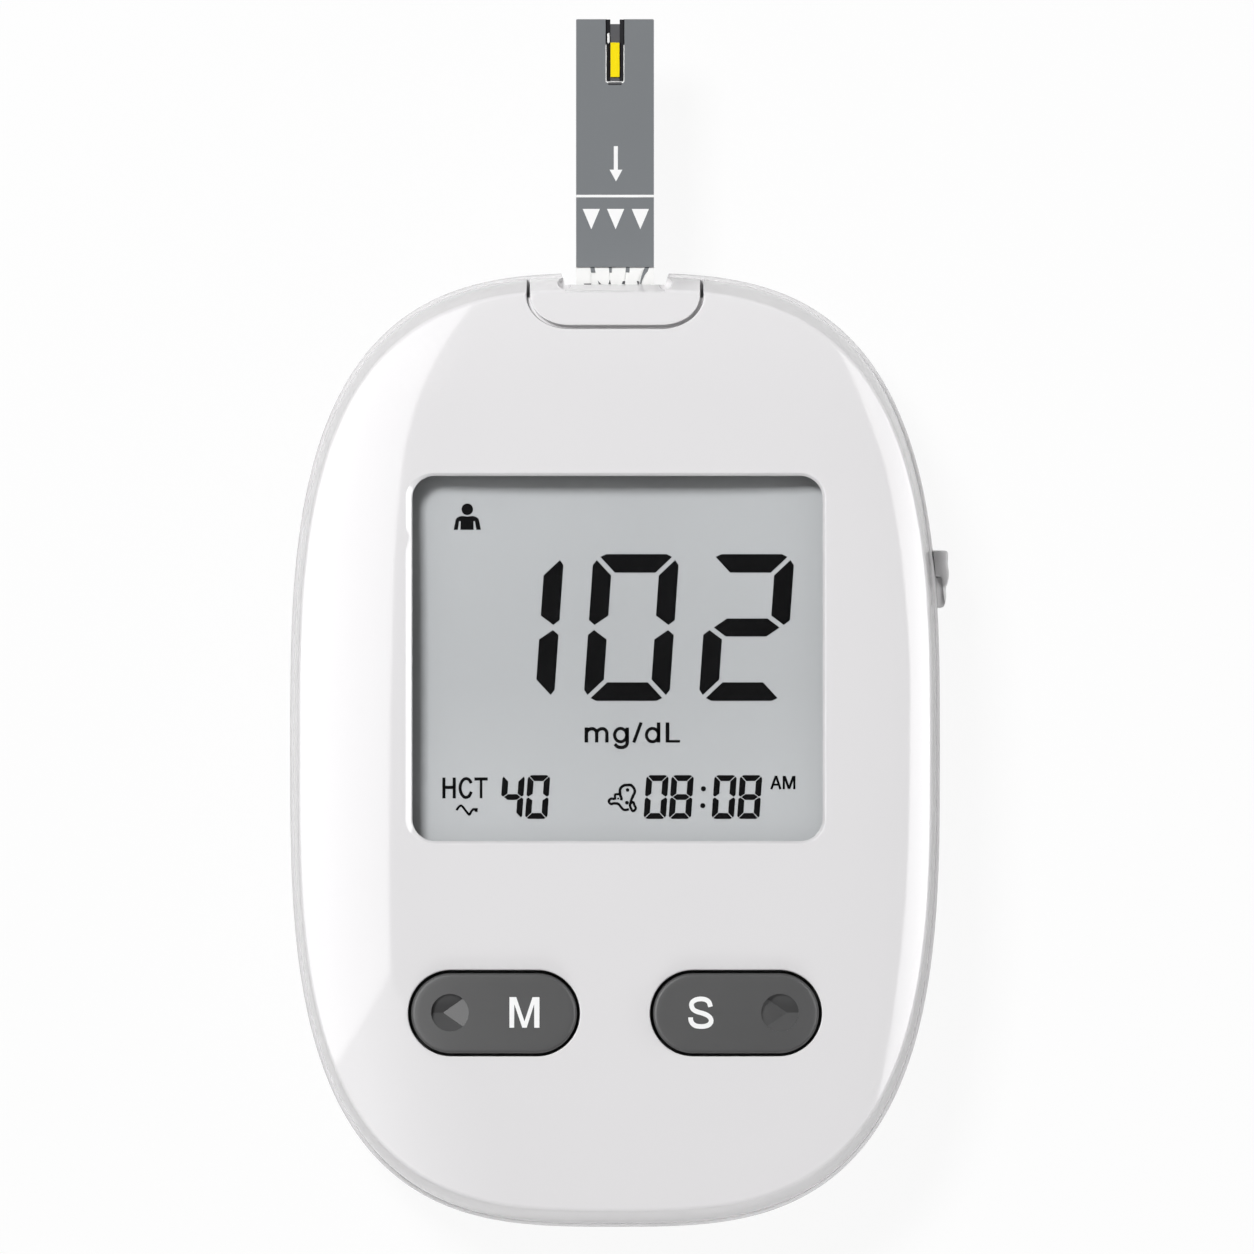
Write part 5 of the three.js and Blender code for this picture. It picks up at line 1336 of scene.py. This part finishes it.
def lip_solid():
    """The hooked lip. Its top edge is rounded, and its top rolls down to its tip and a little to its other end."""
    line = spots(*LIP)
    profile = [(ROOT_X, LIP_END_Y)] + line + [(ROOT_X, line[-1][1])]
    plan = subdivide(profile[::-1], 0.3)
    middle_x, middle_y = LIP_MIDDLE
    rows = [[(x, y, LIP_BOTTOM) for x, y in plan]]
    for inset, drop in LIP_ROUND:
        row = []
        for x, y in plan:
            reach = math.hypot(x - middle_x, y - middle_y)
            share = 1 - inset / max(reach, 0.4)
            px, py = middle_x + (x - middle_x) * share, middle_y + (y - middle_y) * share
            roll = 0.12 * max(ROLL_START_Y - y, 0) ** 1.7 + 0.25 * max(y - ROLL_BACK_Y, 0)
            row.append((px, py, LIP_TOP - drop - roll))
        rows.append(row)
    return skin(rows)


def subdivide(plan, reach):
    """Adds points to an outline, so that none is further than this from the next."""
    finer = []
    for (ax, ay), (bx, by) in zip(plan, plan[1:] + plan[:1]):
        parts = max(1, math.ceil(math.hypot(bx - ax, by - ay) / reach))
        finer += [(ax + (bx - ax) * k / parts, ay + (by - ay) * k / parts) for k in range(parts)]
    return finer


print("lip is", round(LIP_TOP - LIP_BOTTOM, 2), "mm high")

# %% The step, and the thumb piece
STEP = [(946.0, 577.5), (946.2, 598), (945.2, 604.5), (943.8, 606.9), (941.4, 607.8)]
STEP_FOOT_Y = 13


def step_solid():
    """The lower step. It tilts outwards, with a bevel along its outer edge and its foot."""
    line = spots(*STEP)
    plan = [(ROOT_X, line[0][1])] + line + [(ROOT_X, line[-1][1])]
    rows = []
    for inset, rise, height in ((0, 0, LIP_BOTTOM), (0, 0, STEP_TOP - 0.2), (0.08, 0.03, STEP_TOP - 0.12)):
        rows.append([(x - inset * (x > ROOT_X), y + rise * (y < STEP_FOOT_Y), height) for x, y in plan[::-1]])
    top = []
    for x, y in plan[::-1]:
        top.append((x - 0.34 * (x > ROOT_X), y + 0.1 * (y < STEP_FOOT_Y), STEP_TOP + STEP_TILT * (OUTER_X - x)))
    return skin(rows + [top])


def body_slab(grow):
    """The body's outline as an upright slab, this much larger all round."""
    half_width, half_length = BODY_HALF_WIDTH + grow, BODY_HALF_LENGTH + grow
    walls = [(half_width, half_length, BELOW), (half_width, half_length, ABOVE)]
    return spread_outline([(0, 0, BELOW), *walls, (0, 0, ABOVE)])


thumb = combine(join(lip_solid(), step_solid()), body_slab(THUMB_GAP))

# %% The painted highlight on the step
HIGHLIGHT_RIDGE = [(941.8, 576.4), (942.9, 579), (944.5, 583.4), (945.5, 587.7), (946.3, 592), (946.5, 596.4), (946.2, 600.2)]
HIGHLIGHT_RIDGE += [(945.5, 602.9), (945.2, 601.8), (944.4, 596.9), (943.7, 591.5), (943.1, 586.1), (942.4, 581.2)]
RIDGE_PROUD, RIDGE_SLOPE = 0.03, 0.5
# A white plate along the step's outer bevel is a painted highlight, where the bevel catches the light.
highlight_ridge = plates([spots(*HIGHLIGHT_RIDGE)], STEP_TOP - 0.5, STEP_TOP + RIDGE_PROUD)
for vertex in highlight_ridge.data.vertices:
    if vertex.co.z > STEP_TOP:
        vertex.co.z -= RIDGE_SLOPE * (vertex.co.x - OUTER_X)
piece(highlight_ridge, "slider_painted_highlight", "ejector", white_ink_and_painted_highlight, "white_shell")

# %% Slider body and pusher
SLIDER_Y, BAR_Y_HALF, BAR_LOW, BAR_HIGH, TRAVEL = 15.394, 2.1, 6.902, 8.702, 5
low_y, high_y = SLIDER_Y - BAR_Y_HALF, SLIDER_Y + BAR_Y_HALF
ARM_HALF, ARM_START_Y, ARM_END_Y, PUSHER_END_Y = 1.5, 29.2, 31.2, 33.8
SHIELD_REACH = TRAVEL + 0.6
neck = box(27.2, 29.4, low_y, high_y, BAR_LOW, BAR_LOW + 1.3)
bar = box(-ARM_HALF, 27.2, low_y, high_y, BAR_LOW, BAR_HIGH)
arm = box(-ARM_HALF, ARM_HALF, low_y, ARM_END_Y, BAR_LOW, BAR_HIGH)
upright = box(-ARM_HALF, ARM_HALF, ARM_START_Y, ARM_END_Y, BAR_LOW, PAD_TOP)
pusher = box(-ARM_HALF, ARM_HALF, ARM_END_Y, PUSHER_END_Y, 11.97, PAD_TOP)
spring_seat = box(7.989, 12.989, high_y - 1.2, high_y, BAR_LOW - 1.9, BAR_HIGH)
shield = box(22.6, 23.4, low_y - SHIELD_REACH, high_y + SHIELD_REACH, BAR_LOW - 0.6, BAR_HIGH)
slider = join(thumb, neck, bar, arm, upright, pusher, spring_seat, shield)
piece(slider, "slider_thumb_and_pusher", "ejector", slider_grey, "slider_grey", "ejector_slider")

# %% [markdown]
# ## The floor
# A plain pale sheet, a hair under the meter's back, so that the two don't lie in one plane. The camera and gloss see
# it as white, and it still takes the object's shadow, because a share of what they see is lit.

# %% The floor
floor_mesh = bpy.data.meshes.new("floor")
FLOOR_LEVEL, FLOOR_TONE, WHITE_SHARE, WHITE_IN_GLOSS = -0.02 * MM, 0.75, 0.92, 0.3
floor_corners = [(x, y, FLOOR_LEVEL) for x, y in ((-4, -4), (4, -4), (4, 4), (-4, 4))]
floor_mesh.from_pydata(floor_corners, [], [(0, 1, 2, 3)])
floor = bpy.data.objects.new("floor", floor_mesh)
SCENE.collection.objects.link(floor)
paper = Finish("paper", base_color=(FLOOR_TONE, FLOOR_TONE, FLOOR_TONE), roughness=0.9)
rays = [paper.node("ShaderNodeLightPath", out="Is %s Ray" % kind) for kind in ("Camera", "Transmission", "Glossy")]
glow = paper.node("ShaderNodeEmission", None, {"Color": (1, 1, 1), "Strength": 1.0})
mask = rays[0] * WHITE_SHARE + rays[1] * WHITE_SHARE + rays[2] * WHITE_IN_GLOSS
mixed = paper.node("ShaderNodeMixShader", None, {0: mask, 1: Wire(paper.tree, paper.shader.outputs[0]), 2: glow})
plug(paper.tree, paper.tree.nodes["Material Output"].inputs[0], mixed)
floor_mesh.materials.append(paper.material)
print("floor level in mm", FLOOR_LEVEL / MM)

# %% [markdown]
# ## The softboxes in the gloss
# The glossy face mirrors a large softbox on the left, a dim one below it and a narrower one on the right, all
# brighter on their outer sides. Each edge in the photograph, with the slope of the face under it, gives a point of
# that softbox's rim. They are sheets that only gloss can see, so that their odd shapes don't change the plain light.

# %% The softboxes
GLOW = 10
LEFT_SOFTBOX = [(-0.355, -0.135), (-0.85, -0.375), (-1.7, -0.72), (-1.7, 1.2), (-0.08, 1.2), (-0.226, 0.685)]
LEFT_SOFTBOX += [(-0.294, 0.483), (-0.329, 0.359), (-0.342, 0.243), (-0.322, 0.09), (-0.311, 0.025), (-0.329, -0.05)]
LOW_LEFT_SOFTBOX = [(-0.357, -0.14), (-0.1, -0.3), (-0.1, -1.2), (-1.7, -1.6), (-1.7, -0.725), (-0.85, -0.38)]
RIGHT_SOFTBOX = [(0.905, 0.015), (0.80, 0.175), (0.745, 0.27), (0.648, 0.39), (0.56, 0.55), (0.50, 0.66)]
RIGHT_SOFTBOX += [(0.95, 0.95), (1.5, 0.6), (1.5, -0.6), (0.86, -0.72), (0.76, -0.5), (0.785, -0.33), (0.81, -0.2)]


def softbox(name, outline, inner, outer):
    """A sheet of light at the lamp's height. Each side is a place along X and the radiance there."""
    mesh = bpy.data.meshes.new(name)
    corners = [(x * LAMP_HEIGHT, y * LAMP_HEIGHT, LAMP_HEIGHT) for x, y in outline]
    mesh.from_pydata(corners, [], [tuple(range(len(corners)))])
    sheet = bpy.data.objects.new(name, mesh)
    sheet.visible_camera = sheet.visible_diffuse = sheet.visible_shadow = False
    SCENE.collection.objects.link(sheet)
    glow = Finish(name, base_color=(0, 0, 0), specular_ior_level=0.0, roughness=1.0)
    sockets = {"Value": glow.axis(glow.where, "X"), "From Min": inner[0], "From Max": outer[0]}
    sockets.update({"To Min": inner[1] / GLOW, "To Max": outer[1] / GLOW})
    glow.set(emission_color=glow.node("ShaderNodeMapRange", None, sockets), emission_strength=GLOW)
    mesh.materials.append(glow.material)
    print(name, len(corners), "corners")


softbox("left_softbox", LEFT_SOFTBOX, (-0.3, 3.9), (-0.85, 5.7))
softbox("low_left_softbox", LOW_LEFT_SOFTBOX, (-0.1, 0.1), (-0.6, 2.3))
softbox("right_softbox", RIGHT_SOFTBOX, (0.8, 3.9), (1.2, 8.2))
